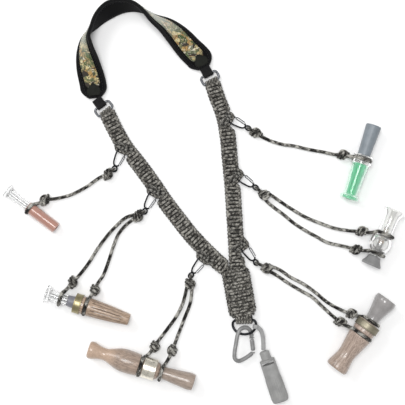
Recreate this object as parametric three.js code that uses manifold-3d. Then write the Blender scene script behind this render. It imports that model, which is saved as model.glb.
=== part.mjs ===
// A duck call lanyard laid out flat: a padded neck strap, two woven cord arms that
// meet in one thick braid, six snap hooks with cord drops that hold six game calls,
// and a D ring that carries a carabiner and a whistle.
// Millimetres. +X to the right, +Y towards the neck strap, +Z up from the surface it lies on.
import * as THREE from "three";
import { mergeVertices } from "three/addons/utils/BufferGeometryUtils.js";
import Module from "manifold-3d";

const wasm = await Module();
wasm.setup();

// ---------------------------------------------------------------- driving dimensions
const CORD = 4; // diameter of the parachute cord
const GAP = 0.3; // clearance between neighbouring pieces
const ARM_WIDTH = 20;
const ARM_THICKNESS = 8;
const KING_WIDTH = 34.5;
const KING_THICKNESS = 14;
const PAD_WIDTH = 30;
const PAD_THICKNESS = 4.4;
const PANEL_WIDTH = 18;
const PANEL_THICKNESS = 1.4;
const TAB_WIDTH = 15;
const TAB_THICKNESS = 3.4;
const LINK_WIRE = 2.8;
const LINK_LENGTH = 24;
const LINK_DEPTH = 13;
const LINK_HEIGHT = 4; // height of a link ring's wire above the surface
const D_WIRE = 3;
const D_HEIGHT = 7.3;
const D_TILT = 13; // degrees, right side up
const CLIP_WIRE = 5; // carabiner stock
const CLIP_TILT = -20; // degrees, left side up
const CLIP_HEIGHT = 7.1;
const HOOK_WIRE = 2;
const HOOK_TILT = 37.5; // degrees about the hook's length: one leg over the cord bar, one under
const BAR_HEIGHT = 5.6; // height of the cord bars that the hooks hold
const BAR_IN_HOOK = 3.8; // from the hook's top to the bar
const EYE_RADIUS = 3.4;
const EYE_IN_HOOK = 26; // from the hook's top to the centre of its eye
const GATE_WIRE = 1;
const GATE_SPREAD = 1.7; // half the distance between a gate's two wires
const LATHE_SIDES = 12;

const degrees = (angle) => (angle * Math.PI) / 180;
const at = (x, y, z = 0) => new THREE.Vector3(x, y, z);

// ---------------------------------------------------------------- shape helpers
function toSolid(geometry) {
  const bare = geometry.clone();
  bare.deleteAttribute("normal");
  bare.deleteAttribute("uv");
  const shared = mergeVertices(bare);
  return new wasm.Manifold(new wasm.Mesh({
    numProp: 3,
    vertProperties: Float32Array.from(shared.attributes.position.array),
    triVerts: Uint32Array.from(shared.index.array),
  }));
}

function toGeometry(solid) {
  const mesh = solid.getMesh();
  const geometry = new THREE.BufferGeometry();
  geometry.setAttribute("position", new THREE.BufferAttribute(Float32Array.from(mesh.vertProperties), 3));
  geometry.setIndex(new THREE.BufferAttribute(Uint32Array.from(mesh.triVerts), 1));
  geometry.computeVertexNormals();
  return geometry;
}

function join(...geometries) {
  return toGeometry(geometries.map(toSolid).reduce((whole, piece) => whole.add(piece)));
}

function cut(geometry, ...tools) {
  return toGeometry(tools.map(toSolid).reduce((rest, tool) => rest.subtract(tool), toSolid(geometry)));
}

// A round bar with closed ends along a smooth curve through the points.
function bar(points, radius, sides = 8, steps = points.length * 2) {
  const section = new THREE.Shape().absarc(0, 0, radius, 0, 2 * Math.PI);
  const extrudePath = new THREE.CatmullRomCurve3(points);
  return new THREE.ExtrudeGeometry(section, { steps, curveSegments: sides / 2, extrudePath, bevelEnabled: false });
}

// A round bar bent into a closed loop.
function loop(points, radius, sides = 6, steps = points.length * 2) {
  return new THREE.TubeGeometry(new THREE.CatmullRomCurve3(points, true), steps, radius, sides, true);
}

// A body turned about X from [x, radius] points; an outline that leaves the axis closes on itself.
function turned(outline, sides = LATHE_SIDES) {
  const points = outline.map(([x, radius]) => new THREE.Vector2(radius, x));
  if (outline[0][1] > 0) points.push(points[0].clone());
  return new THREE.LatheGeometry(points, sides).rotateZ(-Math.PI / 2);
}

function box(low, high) {
  const size = high.clone().sub(low);
  const middle = low.clone().add(high).multiplyScalar(0.5);
  return new THREE.BoxGeometry(size.x, size.y, size.z).translate(middle.x, middle.y, middle.z);
}

// A flat bar with its long edges thinned, ready to be bent along a curve.
function slab(length, width, thickness, steps, edge = 0.45) {
  const geometry = new THREE.BoxGeometry(length, width, thickness, steps, 4, 1);
  const position = geometry.attributes.position;
  for (let i = 0; i < position.count; i += 1) {
    const onEdge = Math.abs(position.getY(i)) > width * 0.49;
    if (onEdge) position.setZ(i, position.getZ(i) * edge);
  }
  return geometry;
}

// Bends a slab along a curve. roll turns it about the curve, in radians, at each share of the length.
function bent(geometry, length, curve, roll = () => 0) {
  const position = geometry.attributes.position;
  for (let i = 0; i < position.count; i += 1) {
    const share = THREE.MathUtils.clamp(position.getX(i) / length + 0.5, 0, 1);
    const tangent = curve.getTangentAt(share);
    const across = at(-tangent.y, tangent.x).normalize();
    const turn = roll(share);
    const point = curve.getPointAt(share)
      .addScaledVector(across, position.getY(i) * Math.cos(turn) - position.getZ(i) * Math.sin(turn));
    point.z += position.getY(i) * Math.sin(turn) + position.getZ(i) * Math.cos(turn);
    position.setXYZ(i, point.x, point.y, point.z);
  }
  return geometry;
}

// Puts a shape made about the origin at a place: tilted about its length, then turned to its heading.
function placed(geometry, place, heading, tilt = 0) {
  return geometry.rotateX(degrees(tilt)).rotateZ(degrees(heading)).translate(place.x, place.y, place.z);
}

// ---------------------------------------------------------------- materials and nodes
function look(color, roughness, metalness = 0, opacity = 1) {
  return new THREE.MeshStandardMaterial({ color, roughness, metalness, opacity, transparent: opacity < 1 });
}
const camoCord = () => look(0x6f6c5c, 0.9);
const blackFoam = () => look(0x1d1d1e, 0.95);
const camoCloth = () => look(0x8c8a62, 0.85);
const webbing = () => look(0x151515, 0.6);
const steel = () => look(0x8e9094, 0.3, 1);
const gunmetal = () => look(0x3a3b3d, 0.35, 1);
const greyAlloy = () => look(0xa9abad, 0.4, 0.8);
const brass = () => look(0xc9a95c, 0.3, 1);
const clearPlastic = () => look(0xdfe3e4, 0.1, 0, 0.4);
const reedFilm = () => look(0xe8e4d8, 0.3);

const part = new THREE.Group();

function add(name, geometry, material, parent = part) {
  const mesh = new THREE.Mesh(geometry, material);
  mesh.name = name;
  parent.add(mesh);
}

// ---------------------------------------------------------------- neck strap
const LINKS = {
  left: { centre: at(-119, 113, LINK_HEIGHT), heading: 127, toStrap: 14.8 },
  right: { centre: at(9, 150, LINK_HEIGHT), heading: 118, toStrap: 15.7 },
};
const ROUTE_OF_STRAP = [
  [-130, 128], [-132, 143], [-137, 164], [-140, 183], [-139, 197], [-131, 209], [-122, 221], [-109, 231],
  [-93, 235], [-79, 233], [-68, 227], [-57, 219], [-43, 211], [-29, 199], [-16, 185], [-4, 173], [1, 164],
];
const END_HEIGHT = 3.4; // height of the strap's middle where it meets the webbing
const STRAP_STEPS = 28;

// Lean of the strap along its length: flat at both ends, on edge and past it round the neck.
function strapLean(share) {
  const rise = THREE.MathUtils.smoothstep(share, 0.02, 0.48);
  const fall = 1 - THREE.MathUtils.smoothstep(share, 0.42, 0.99);
  return degrees(116) * Math.min(rise, fall);
}

function strapCurve() {
  const flat = new THREE.CatmullRomCurve3(ROUTE_OF_STRAP.map(([x, y]) => at(x, y)));
  const steps = 40;
  const points = [];
  for (let i = 0; i <= steps; i += 1) {
    const lean = strapLean(i / steps);
    const height = (PAD_WIDTH / 2) * Math.sin(lean) + (PAD_THICKNESS / 2) * Math.abs(Math.cos(lean));
    const point = flat.getPointAt(i / steps);
    points.push(at(point.x, point.y, Math.max(height + 0.4, END_HEIGHT)));
  }
  return new THREE.CatmullRomCurve3(points);
}

// One layer of the strap with round ends. Every layer has its lengthwise lines at the panel's edges
// and its cross lines at the same places, so the layers stay parallel where the strap leans.
function strapLayer(width, thickness, offset, stepsFromEnd) {
  const curve = strapCurve();
  const whole = curve.getLength();
  const steps = STRAP_STEPS - 2 * stepsFromEnd;
  const length = (whole * steps) / STRAP_STEPS;
  const geometry = new THREE.BoxGeometry(length, width, thickness, steps, width > PANEL_WIDTH ? 4 : 2, 1);
  const position = geometry.attributes.position;
  for (let i = 0; i < position.count; i += 1) {
    const y = position.getY(i);
    const inner = Math.abs(y) > 0.1 && Math.abs(y) < width * 0.49;
    const toEnd = length / 2 - Math.abs(position.getX(i));
    const rounding = Math.sin(Math.min(1, 0.3 + (2 * toEnd) / width) * (Math.PI / 2));
    position.setY(i, (inner ? (Math.sign(y) * PANEL_WIDTH) / 2 : y) * rounding);
  }
  return bent(geometry.translate(0, 0, offset), whole, curve, (share) => -strapLean(share));
}

add("neck_pad", strapLayer(PAD_WIDTH, PAD_THICKNESS, 0, 0), blackFoam());
const panel = strapLayer(PANEL_WIDTH, PANEL_THICKNESS, (PAD_THICKNESS + PANEL_THICKNESS) / 2, 1);
add("camo_panel", cut(panel, strapLayer(PAD_WIDTH, PAD_THICKNESS + 2 * GAP, 0, 0)), camoCloth());

// ---------------------------------------------------------------- link rings and webbing tabs
function linkRing(radius) {
  const halfDepth = (LINK_DEPTH - LINK_WIRE) / 2;
  const halfLength = (LINK_LENGTH - LINK_WIRE) / 2;
  const corner = 3;
  const quarter = [
    [halfDepth, 0], [halfDepth, halfLength - corner], [halfDepth - 0.9, halfLength - 0.9],
    [halfDepth - corner, halfLength], [0, halfLength],
  ];
  const half = [...quarter, ...quarter.slice(1, -1).reverse().map(([x, y]) => [-x, y])];
  const outline = [...half, [-halfDepth, 0], ...half.slice(1).reverse().map(([x, y]) => [x, -y])];
  return loop(outline.map(([x, y]) => at(x, y)), radius, 6, 24);
}

for (const [side, { centre, heading, toStrap }] of Object.entries(LINKS)) {
  const barOffset = (LINK_DEPTH - LINK_WIRE) / 2;
  const room = linkRing(LINK_WIRE / 2 + GAP);
  const fold = new THREE.CylinderGeometry(3.5, 3.5, TAB_WIDTH, 12).translate(barOffset, 0, 0);
  const web = box(at(barOffset, -TAB_WIDTH / 2, -TAB_THICKNESS / 2), at(toStrap, TAB_WIDTH / 2, TAB_THICKNESS / 2));
  add(`strap_tab_${side}`, placed(cut(join(fold, web), room), centre, heading), webbing());
  add(`link_ring_${side}`, placed(linkRing(LINK_WIRE / 2), centre, heading), steel());
}

// ---------------------------------------------------------------- hooks: where each one holds the braid
// edge: the cord bar near the braid's edge. heading: from the bar to the hook's eye. knot: the drop's first knot.
const HOOKS = [
  { edge: at(-97.5, 61, BAR_HEIGHT), heading: -112, knot: [-114.7, 34] },
  { edge: at(-59.5, 9.2, BAR_HEIGHT), heading: -117, knot: [-78.3, -16.2] },
  { edge: at(-0.7, -69.6, BAR_HEIGHT), heading: -126, knot: [-15.6, -98] },
  { edge: at(35, 99.6, BAR_HEIGHT), heading: -27, knot: [64, 83.2] },
  { edge: at(45.5, 30.5, BAR_HEIGHT), heading: -34, knot: [74.9, 9.7] },
  { edge: at(50.7, -54.7, BAR_HEIGHT), heading: -52, knot: [77.5, -78.5] },
];
const NOTCH_HALF_WIDTH = 6.7;
const NOTCH_DEPTH = 5.8; // from the bar inwards

function notch({ edge, heading }) {
  const reach = 25;
  const tool = box(at(-NOTCH_DEPTH, -NOTCH_HALF_WIDTH, -10), at(reach, NOTCH_HALF_WIDTH, 10));
  return placed(tool, edge, heading);
}

// The loop of cord that crosses the notch; a hook turns about its straight middle.
function cordBar({ edge, heading }) {
  const leg = NOTCH_HALF_WIDTH + CORD / 2;
  const points = [[-10, -leg], [-3, -leg], [-0.4, -leg + 1.6], [0, -3], [0, 3], [-0.4, leg - 1.6], [-3, leg], [-10, leg]];
  return placed(bar(points.map(([x, y]) => at(x, y)), CORD / 2, 6, 11), edge, heading);
}

// ---------------------------------------------------------------- braided arms and thick braid
const ROUTE_OF_LEFT_ARM = [
  [-115, 108], [-107, 91], [-94, 68], [-76, 45], [-60, 23], [-45, 1], [-29, -20], [-14, -39], [2, -56], [20, -73],
  [31, -81],
];
const ROUTE_OF_RIGHT_ARM = [
  [12, 144], [17, 128], [25, 107], [30, 82], [33, 51], [36, 20], [38, -11], [40, -42], [42, -79.5],
];
const ROUTE_OF_KING = [[39, -80], [44, -108], [49, -136]];

function braid(route, width, thickness, steps, edge = 0.45) {
  const curve = new THREE.CatmullRomCurve3(route.map(([x, y]) => at(x, y, thickness / 2)));
  const length = curve.getLength();
  return bent(slab(length, width, thickness, steps, edge), length, curve);
}

function ringFold({ centre, heading }, radius, width) {
  const barOffset = (LINK_DEPTH - LINK_WIRE) / 2;
  return placed(new THREE.CylinderGeometry(radius, radius, width, 12).translate(-barOffset, 0, 0), centre, heading);
}

function ringRoom({ centre, heading }) {
  return placed(linkRing(LINK_WIRE / 2 + GAP), centre, heading);
}

function arm(route, link, hooks, rivals, steps) {
  const notched = cut(braid(route, ARM_WIDTH, ARM_THICKNESS, steps), ...hooks.map(notch), ...rivals);
  const looped = join(notched, ringFold(link, ARM_THICKNESS / 2, 16), ...hooks.map(cordBar));
  return cut(looped, ringRoom(link));
}

const kingRoom = braid(ROUTE_OF_KING, KING_WIDTH + 2 * GAP, KING_THICKNESS + 2, 1, 1);
const rightRoom = braid(ROUTE_OF_RIGHT_ARM, ARM_WIDTH + 2 * GAP, ARM_THICKNESS + 2, 12, 1);
add("left_braid", arm(ROUTE_OF_LEFT_ARM, LINKS.left, HOOKS.slice(0, 3), [rightRoom, kingRoom], 13), camoCord());
add("right_braid", arm(ROUTE_OF_RIGHT_ARM, LINKS.right, HOOKS.slice(3), [kingRoom], 12), camoCord());

// ---------------------------------------------------------------- D ring
const D_BAR = at(50, -141, D_HEIGHT);
const D_HEADING = 3; // degrees: the ring's bar runs along local X
const D_OUTLINE = [
  [-9.6, 0], [-5, 0], [5, 0], [9.6, 0], [13, -1.6], [14.3, -5.4], [12.6, -11], [7.8, -15.4], [0, -17.2],
  [-7.8, -15.4], [-12.6, -11], [-14.3, -5.4], [-13, -1.6],
];

// Puts a flat loop drawn in local XY in place: turned about its Y length, then headed.
function hung(geometry, place, heading, tilt) {
  return geometry.rotateY(degrees(-tilt)).rotateZ(degrees(heading)).translate(place.x, place.y, place.z);
}

function dRing(radius) {
  return hung(loop(D_OUTLINE.map(([x, y]) => at(x, y)), radius, 8, 24), D_BAR, D_HEADING, D_TILT);
}

const kingLoops = hung(
  new THREE.CylinderGeometry(5, 5, 17, 12).rotateZ(Math.PI / 2), D_BAR, D_HEADING, D_TILT,
);
const kingNeck = placed(box(at(0, -8, -5), at(7, 8, 5)), at(49, -141, 7), 98);
const kingBody = join(braid(ROUTE_OF_KING, KING_WIDTH, KING_THICKNESS, 8), kingNeck, kingLoops);
add("king_braid", cut(kingBody, dRing(D_WIRE / 2 + 1.5 * GAP)), camoCord());
add("d_ring", dRing(D_WIRE / 2), gunmetal());

// ---------------------------------------------------------------- carabiner
const CLIP_CENTRE = at(50.5, -170.5, CLIP_HEIGHT);
const CLIP_BODY = [
  [9.2, 8], [8.4, 14], [5, 19], [0, 20.4], [-5.4, 18.6], [-9, 12], [-11, 2], [-13, -10], [-12.4, -16.5],
  [-8, -19.4], [-1, -17.4], [7, -13], [10.6, -10.2],
];
const CLIP_GATE = [[11, -7], [10.2, 0], [9.5, 4.9]];

function clipWire(points, radius, steps) {
  return hung(bar(points.map(([x, y]) => at(x, y)), radius, 8, steps), CLIP_CENTRE, 0, CLIP_TILT);
}
add("carabiner_body", clipWire(CLIP_BODY, CLIP_WIRE / 2, 24), greyAlloy());
add("carabiner_gate", clipWire(CLIP_GATE, CLIP_WIRE / 2 - 0.5, 3), greyAlloy());

// ---------------------------------------------------------------- whistle on its strap
const WHISTLE_TOP = at(73.6, -178.2, 7.6);
const WHISTLE_HEADING = -71;
const WHISTLE_FLATNESS = 0.75;
const STRAP_ON_D = { x: 13.6, y: -8.2, heading: -17 }; // on the D ring's right side
const ROUTE_OF_WHISTLE_STRAP = [
  [66.2, -149.4, 10.6], [69.6, -152.6, 10.2], [72, -159, 9.2], [73, -168, 8], [73.2, -177.2, 7.2],
];

function whistle() {
  const body = turned([
    [0, 0], [0, 4.5], [1.5, 6], [10, 6], [11, 9.2], [62, 10], [64, 9], [64, 6], [30, 6], [30, 0],
  ]);
  const slot = box(at(13.4, -7.2, -12), at(16.8, 7.2, 12));
  const airway = box(at(15, -4, -3), at(40, 4, 3));
  return placed(cut(body, slot, airway).scale(1, 1, WHISTLE_FLATNESS), WHISTLE_TOP, WHISTLE_HEADING);
}

function whistleStrap() {
  const fold = new THREE.CylinderGeometry(3.6, 3.6, 5, 12)
    .rotateZ(degrees(STRAP_ON_D.heading))
    .translate(STRAP_ON_D.x, STRAP_ON_D.y, 0);
  const curve = new THREE.CatmullRomCurve3(ROUTE_OF_WHISTLE_STRAP.map((point) => at(...point)));
  const length = curve.getLength();
  const ribbon = bent(new THREE.BoxGeometry(length, 5, 2.2, 8, 1, 1), length, curve);
  return cut(join(hung(fold, D_BAR, D_HEADING, D_TILT), ribbon), dRing(D_WIRE / 2 + GAP));
}
add("whistle_strap", whistleStrap(), greyAlloy());
add("whistle", whistle(), look(0x8f9294, 0.5));

// ---------------------------------------------------------------- snap hooks
// Drawn with X along the hook from its top and Y across it; the origin is then moved to the cord bar.
const HOOK_OUTLINE = [
  [6.9, 6], [3.2, 5.4], [0.8, 3.2], [0, 0], [0.8, -3.2], [3.2, -5.4], [7, -6], [13, -5.6], [18.6, -4.6],
  [21.8, -2.2], [22, 1.4], [20, 3.9],
];
const GATE_HINGE = [19.6, 4.2];
const GATE_TIP = [8, 6];

function hookPoint([x, y], z = 0) {
  return at(x - BAR_IN_HOOK, y, z);
}

function hookEye(wireRadius) {
  return new THREE.TorusGeometry(EYE_RADIUS, wireRadius, 5, 10).translate(EYE_IN_HOOK - BAR_IN_HOOK, 0, 0);
}

function hookBody() {
  return join(bar(HOOK_OUTLINE.map((point) => hookPoint(point)), HOOK_WIRE / 2, 6, 17), hookEye(HOOK_WIRE / 2));
}

// Two thin wires joined at the tip, one on each side of the hook's stock.
function hookGate() {
  const [hingeX, hingeY] = GATE_HINGE;
  const [tipX, tipY] = GATE_TIP;
  const points = [
    hookPoint([hingeX, hingeY], GATE_SPREAD), hookPoint([14, 5.3], GATE_SPREAD),
    hookPoint([tipX + 1, tipY], GATE_SPREAD), hookPoint([tipX, tipY], 1), hookPoint([tipX, tipY], -1),
    hookPoint([tipX + 1, tipY], -GATE_SPREAD), hookPoint([14, 5.3], -GATE_SPREAD),
    hookPoint([hingeX, hingeY], -GATE_SPREAD),
  ];
  return bar(points, GATE_WIRE / 2, 4, 10);
}

HOOKS.forEach(({ edge, heading }, index) => {
  add(`snap_hook_${index + 1}`, placed(hookBody(), edge, heading, -HOOK_TILT), gunmetal());
  add(`snap_gate_${index + 1}`, placed(hookGate(), edge, heading, -HOOK_TILT), steel());
});

// ---------------------------------------------------------------- calls
// Each call's X runs from its barrel to its insert, with the seam between them at 0.
// barrel and insert are [x, radius] points; bore is the barrel's, airway the insert's.
const CALLS = [
  {
    seam: [-209.1, -5], heading: 142.7, height: 9.2, bore: 3.8, airway: 2.2, tenon: 17, nose: 16,
    barrel: [[-42.5, 6.2], [-42, 6.75], [-5.1, 6.75], [-5, 4.8], [-0.7, 4.8], [-0.6, 6.6], [0, 6.6]],
    insert: [[0, 5.2], [24, 5.2], [28, 6.2], [30.3, 8.8], [31.3, 9]],
    mouth: [[31.3, 8], [29.5, 6.4], [26, 3]],
    colours: [look(0xa9776a, 0.3, 0, 0.75), clearPlastic()],
  },
  {
    seam: [-161.2, -117.1], heading: 162.6, height: 12.3, bore: 5, airway: 3, tenon: 18, nose: 22,
    barrel: [[-77, 6.4], [-76, 7], [-52, 9.6], [-25.6, 11], [-25.4, 8], [-20.8, 8], [-20.6, 10.8], [-8.4, 10.8],
      [-8.3, 7.2], [0, 6.4]],
    insert: [[0, 6], [19, 6], [22, 7], [24.4, 10.4], [27, 10.8]],
    mouth: [[27, 9.6], [24.5, 8], [20, 3.8]],
    band: [-17.1, -8.7, 11.2, 12.25],
    colours: [look(0xa48263, 0.5), clearPlastic()],
  },
  {
    seam: [-52.1, -201.8], heading: -17.7, height: 14, bore: 5.4, airway: 3, tenon: 18, nose: 24,
    barrel: [[-88, 9], [-86, 10.5], [-82, 10.3], [-74, 7.6], [-67, 6.8], [-59, 9.8], [-50, 13.2], [-42, 14],
      [-32, 13.6], [-25.2, 12.8], [-25, 9.6], [-20.2, 9.6], [-20, 11.6], [-3.8, 11.6], [-3.6, 11], [0, 9]],
    insert: [[0, 7.2], [6, 7.2], [20, 8.6], [38, 10.5], [43.5, 9.6]],
    mouth: [[43.5, 7], [32, 4]],
    band: [-19.5, -4, 12, 13],
    colours: [look(0x7a5638, 0.45), look(0x8d7a68, 0.45)],
  },
  {
    seam: [192.7, 56.1], heading: 71.2, height: 12.1, bore: 5.6, airway: 3, tenon: 16, nose: 24,
    barrel: [[-55, 11], [-54, 11.5], [-51.5, 11.3], [-49, 7.8], [-30, 8.8], [-11, 10], [-10.8, 12], [-6.9, 12],
      [-6.7, 7.8], [-2.1, 7.8], [-1.9, 11.6], [0, 11.6]],
    insert: [[0, 7.5], [30, 8.9], [37, 9.35], [38, 8.6]],
    mouth: [[38, 6], [28, 3.6]],
    colours: [look(0x46c98f, 0.15, 0, 0.7), look(0x8d949a, 0.4)],
  },
  {
    seam: [205.8, -64], heading: 246.3, height: 13, bore: 5, airway: 3, tenon: 16, nose: 22,
    barrel: [[-60, 12.2], [-59, 12.8], [-56, 12.2], [-50, 9], [-31, 9], [-30.8, 8.4], [-26.2, 8.4], [-25, 10.6],
      [-20, 13], [-13, 13], [-8, 10.4], [-6.2, 7.5], [-1.4, 7.5], [-1.2, 8.2], [0, 8.2]],
    insert: [[0, 7.4], [5, 8.8], [10, 12], [12, 11.6]],
    mouth: [[12, 8.6], [6, 4.2]],
    colours: [clearPlastic(), look(0xb4b9bc, 0.6)],
  },
  {
    seam: [199.3, -143.2], heading: 53.7, height: 15.1, bore: 6.2, airway: 3.4, tenon: 18, nose: 26,
    barrel: [[-68, 12], [-66, 13.4], [-61, 12.8], [-48, 10], [-32, 12.4], [-19.4, 14.4], [-19.2, 10.8],
      [-14.6, 10.8], [-14.4, 13.6], [-9.8, 13.6], [-9.7, 13.2], [-0.5, 13.2], [0, 12.6]],
    insert: [[0, 8.25], [7, 8.25], [18, 10.2], [30, 13.5], [35, 12.6]],
    mouth: [[35, 9], [24, 4.6]],
    band: [-9.4, -0.7, 13.5, 15],
    colours: [look(0x8a6a4e, 0.45), look(0x9b9c9a, 0.5)],
  },
];
const REED_THICKNESS = 0.4;
const FLAT_OF_NOSE = 0.2; // height of the tone board's flat above the call's axis

function barrelShape({ barrel, bore }) {
  const [farEnd] = barrel[0];
  const flare = [[0, bore], [farEnd + 5, bore], [farEnd, bore + 1]];
  return turned([...barrel, ...flare]);
}

// The insert: visible end, tenon in the barrel's bore, and the half-round tone board at its tip.
function insertShape({ insert, mouth, bore, airway, tenon, nose }) {
  const tenonRadius = bore - GAP;
  const tip = -tenon - nose;
  const outside = [[tip, tenonRadius - 0.8], [tip + 2, tenonRadius], [GAP, tenonRadius]];
  const visible = insert.map(([x, radius], i) => [i === 0 ? GAP : x, radius]);
  const body = turned([...outside, ...visible, ...mouth, [tip, airway]]);
  return cut(body, box(at(tip - 1, -bore, FLAT_OF_NOSE), at(-tenon, bore, bore + 1)));
}

function reedShape({ bore, tenon, nose }) {
  const halfWidth = (bore - GAP) * 0.78;
  const low = FLAT_OF_NOSE + GAP;
  return box(at(-tenon - nose + 1, -halfWidth, low), at(-tenon - GAP, halfWidth, low + REED_THICKNESS));
}

CALLS.forEach((call, index) => {
  const number = index + 1;
  const group = new THREE.Group();
  group.position.set(call.seam[0], call.seam[1], call.height);
  group.rotation.z = degrees(call.heading);
  part.add(group);
  add(`barrel_${number}`, barrelShape(call), call.colours[0], group);
  add(`insert_${number}`, insertShape(call), call.colours[1], group);
  add(`reed_${number}`, reedShape(call), reedFilm(), group);
  if (call.band) {
    const [low, high, inner, outer] = call.band;
    add(`band_${number}`, turned([[low, outer], [high, outer], [high, inner], [low, inner]]), brass(), group);
  }
});

// ---------------------------------------------------------------- drops: cords, knots and nooses
// hook and call are numbered from 1. groove: [x, radius] of the place on the call that the noose holds.
// Two strands can leave a hook's one knot: lane says on which side, and second that the partner owns the knot.
const LOW = CORD / 2 + 0.35; // height of a cord that lies on the surface
const DROPS = [
  {
    name: "1", hook: 1, call: 1, groove: [-2.8, 4.8], knot: [-189, 3],
    route: [[-124, 30], [-140, 19], [-157, 10], [-175, 5]],
  },
  {
    name: "2a", hook: 2, call: 2, groove: [9, 6], knot: [-157, -96], lane: -1,
    route: [[-92, -18], [-106, -30], [-118, -44], [-128, -58], [-138, -74], [-149, -88]],
  },
  {
    name: "2b", hook: 2, call: 2, groove: [-23, 8], knot: [-130, -105], lane: 1, second: true,
    route: [[-86, -22], [-100, -36], [-108, -54], [-113, -70], [-120, -88], [-126, -97]],
  },
  {
    name: "3a", hook: 3, call: 3, groove: [-22.6, 9.6], knot: [-58, -173], lane: -1,
    route: [[-20, -107], [-24, -122], [-32, -138], [-42, -152], [-52, -165]],
  },
  {
    name: "3b", hook: 3, call: 3, groove: [3.2, 7.2], knot: [-36, -178], lane: 1, second: true,
    route: [[-13, -107], [-15, -122], [-22, -140], [-28, -156], [-33, -169]],
  },
  {
    name: "4", hook: 4, call: 4, groove: [-4.4, 7.8], knot: [169, 57],
    route: [[72, 79], [83, 74], [97, 70], [111, 68], [128, 64], [145, 61], [159, 58]],
  },
  {
    name: "5a", hook: 5, call: 5, groove: [-28.5, 8.4], knot: [192, -35], lane: 1,
    route: [[84, 8], [97, -1], [111, -10], [125, -18], [142, -25], [159, -31], [177, -34]],
  },
  {
    name: "5b", hook: 5, call: 5, groove: [-3.8, 7.5], knot: [184, -56], lane: -1, second: true,
    route: [[77, 2], [86, -6], [97, -14], [109, -24], [121, -32], [137, -41], [150, -48], [171, -53]],
  },
  {
    name: "6a", hook: 6, call: 6, groove: [2.8, 8.25], knot: [179, -134], lane: 1,
    route: [[91, -80], [106, -90], [123, -99], [138, -110], [150, -120], [168, -130]],
  },
  {
    name: "6b", hook: 6, call: 6, groove: [-16.9, 10.8], knot: [166, -144], lane: -1, second: true,
    route: [[88, -87], [103, -97], [118, -106], [132, -114], [144, -125], [156, -136]],
  },
];
const KNOT_HEIGHT = 5.2;
const LOOP_FROM_EYE = 4.4; // from the eye's centre to the middle of the cord loop that holds it
const STRAND_SPACING = 5; // between two strands where they leave one knot
const APPROACH = 6; // straight cord between a noose and the bend towards its knot

function knotShape(length, width, height) {
  return new THREE.SphereGeometry(1, 6, 4).rotateX(Math.PI / 2).scale(length / 2, width / 2, height / 2);
}

// The knot that gathers the strands, and the cord loop from it through the hook's eye.
function firstKnot({ edge, heading, knot }, growth = 0) {
  const angle = degrees(heading);
  const eye = edge.clone().add(at(Math.cos(angle), Math.sin(angle)).multiplyScalar(EYE_IN_HOOK - BAR_IN_HOOK));
  const place = at(knot[0], knot[1], KNOT_HEIGHT);
  const out = at(place.x - eye.x, place.y - eye.y).normalize();
  const turn = THREE.MathUtils.radToDeg(Math.atan2(out.y, out.x));
  const body = placed(knotShape(13 + growth, 10.5 + growth, 9.4 + growth), place, turn);
  const eyeLoop = placed(knotShape(12, 6.4, 7.2), eye.addScaledVector(out, LOOP_FROM_EYE), turn);
  return { place, out, turn, body, eyeLoop };
}

function drop({ hook, call, groove, knot, route, lane = 0, second }) {
  const { edge, heading } = HOOKS[hook - 1];
  const first = firstKnot(HOOKS[hook - 1]);
  const { seam, height, heading: callHeading } = CALLS[call - 1];
  const along = at(Math.cos(degrees(callHeading)), Math.sin(degrees(callHeading)));
  const middle = at(seam[0], seam[1], height).addScaledVector(along, groove[0]);
  const noose = groove[1] + GAP + CORD / 2;
  const across = at(-along.y, along.x);
  const side = Math.sign(across.dot(at(knot[0], knot[1]).sub(middle)));
  const meeting = middle.clone().addScaledVector(across, side * noose);
  const approach = middle.clone().addScaledVector(across, side * (noose + APPROACH));
  approach.z = (height + KNOT_HEIGHT) / 2;
  const left = at(-first.out.y, first.out.x);
  const start = first.place.clone().addScaledVector(left, (lane * STRAND_SPACING) / 2);
  const lastKnotPlace = at(knot[0], knot[1], KNOT_HEIGHT);
  const points = [
    at(start.x, start.y, KNOT_HEIGHT), ...route.map(([x, y]) => at(x, y, LOW)), lastKnotPlace, approach, meeting,
  ];
  const lastTurn = THREE.MathUtils.radToDeg(Math.atan2(approach.y - knot[1], approach.x - knot[0]));
  const lastKnot = placed(knotShape(12, 10, 9), lastKnotPlace, lastTurn);
  const ring = placed(new THREE.TorusGeometry(noose, CORD / 2, 6, 12).rotateY(Math.PI / 2), middle, callHeading);
  const strand = join(bar(points, CORD / 2, 8, points.length + 1), lastKnot, ring);
  if (second) return cut(strand, firstKnot(HOOKS[hook - 1], 2 * GAP).body);
  const eyeRoom = placed(hookEye(HOOK_WIRE / 2 + GAP), edge, heading, -HOOK_TILT);
  return cut(join(strand, first.body, first.eyeLoop), eyeRoom);
}

for (const plan of DROPS) add(`drop_cord_${plan.name}`, drop(plan), camoCord());

export default part;
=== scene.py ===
"""The looks of a duck call lanyard laid out flat: neck strap, woven arms, hooks, cord drops, six calls,
carabiner and whistle. Shapes are drawn in millimetres in the frame's own axes and made in metres."""
import math

import bpy
from mathutils import Matrix, Vector


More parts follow.
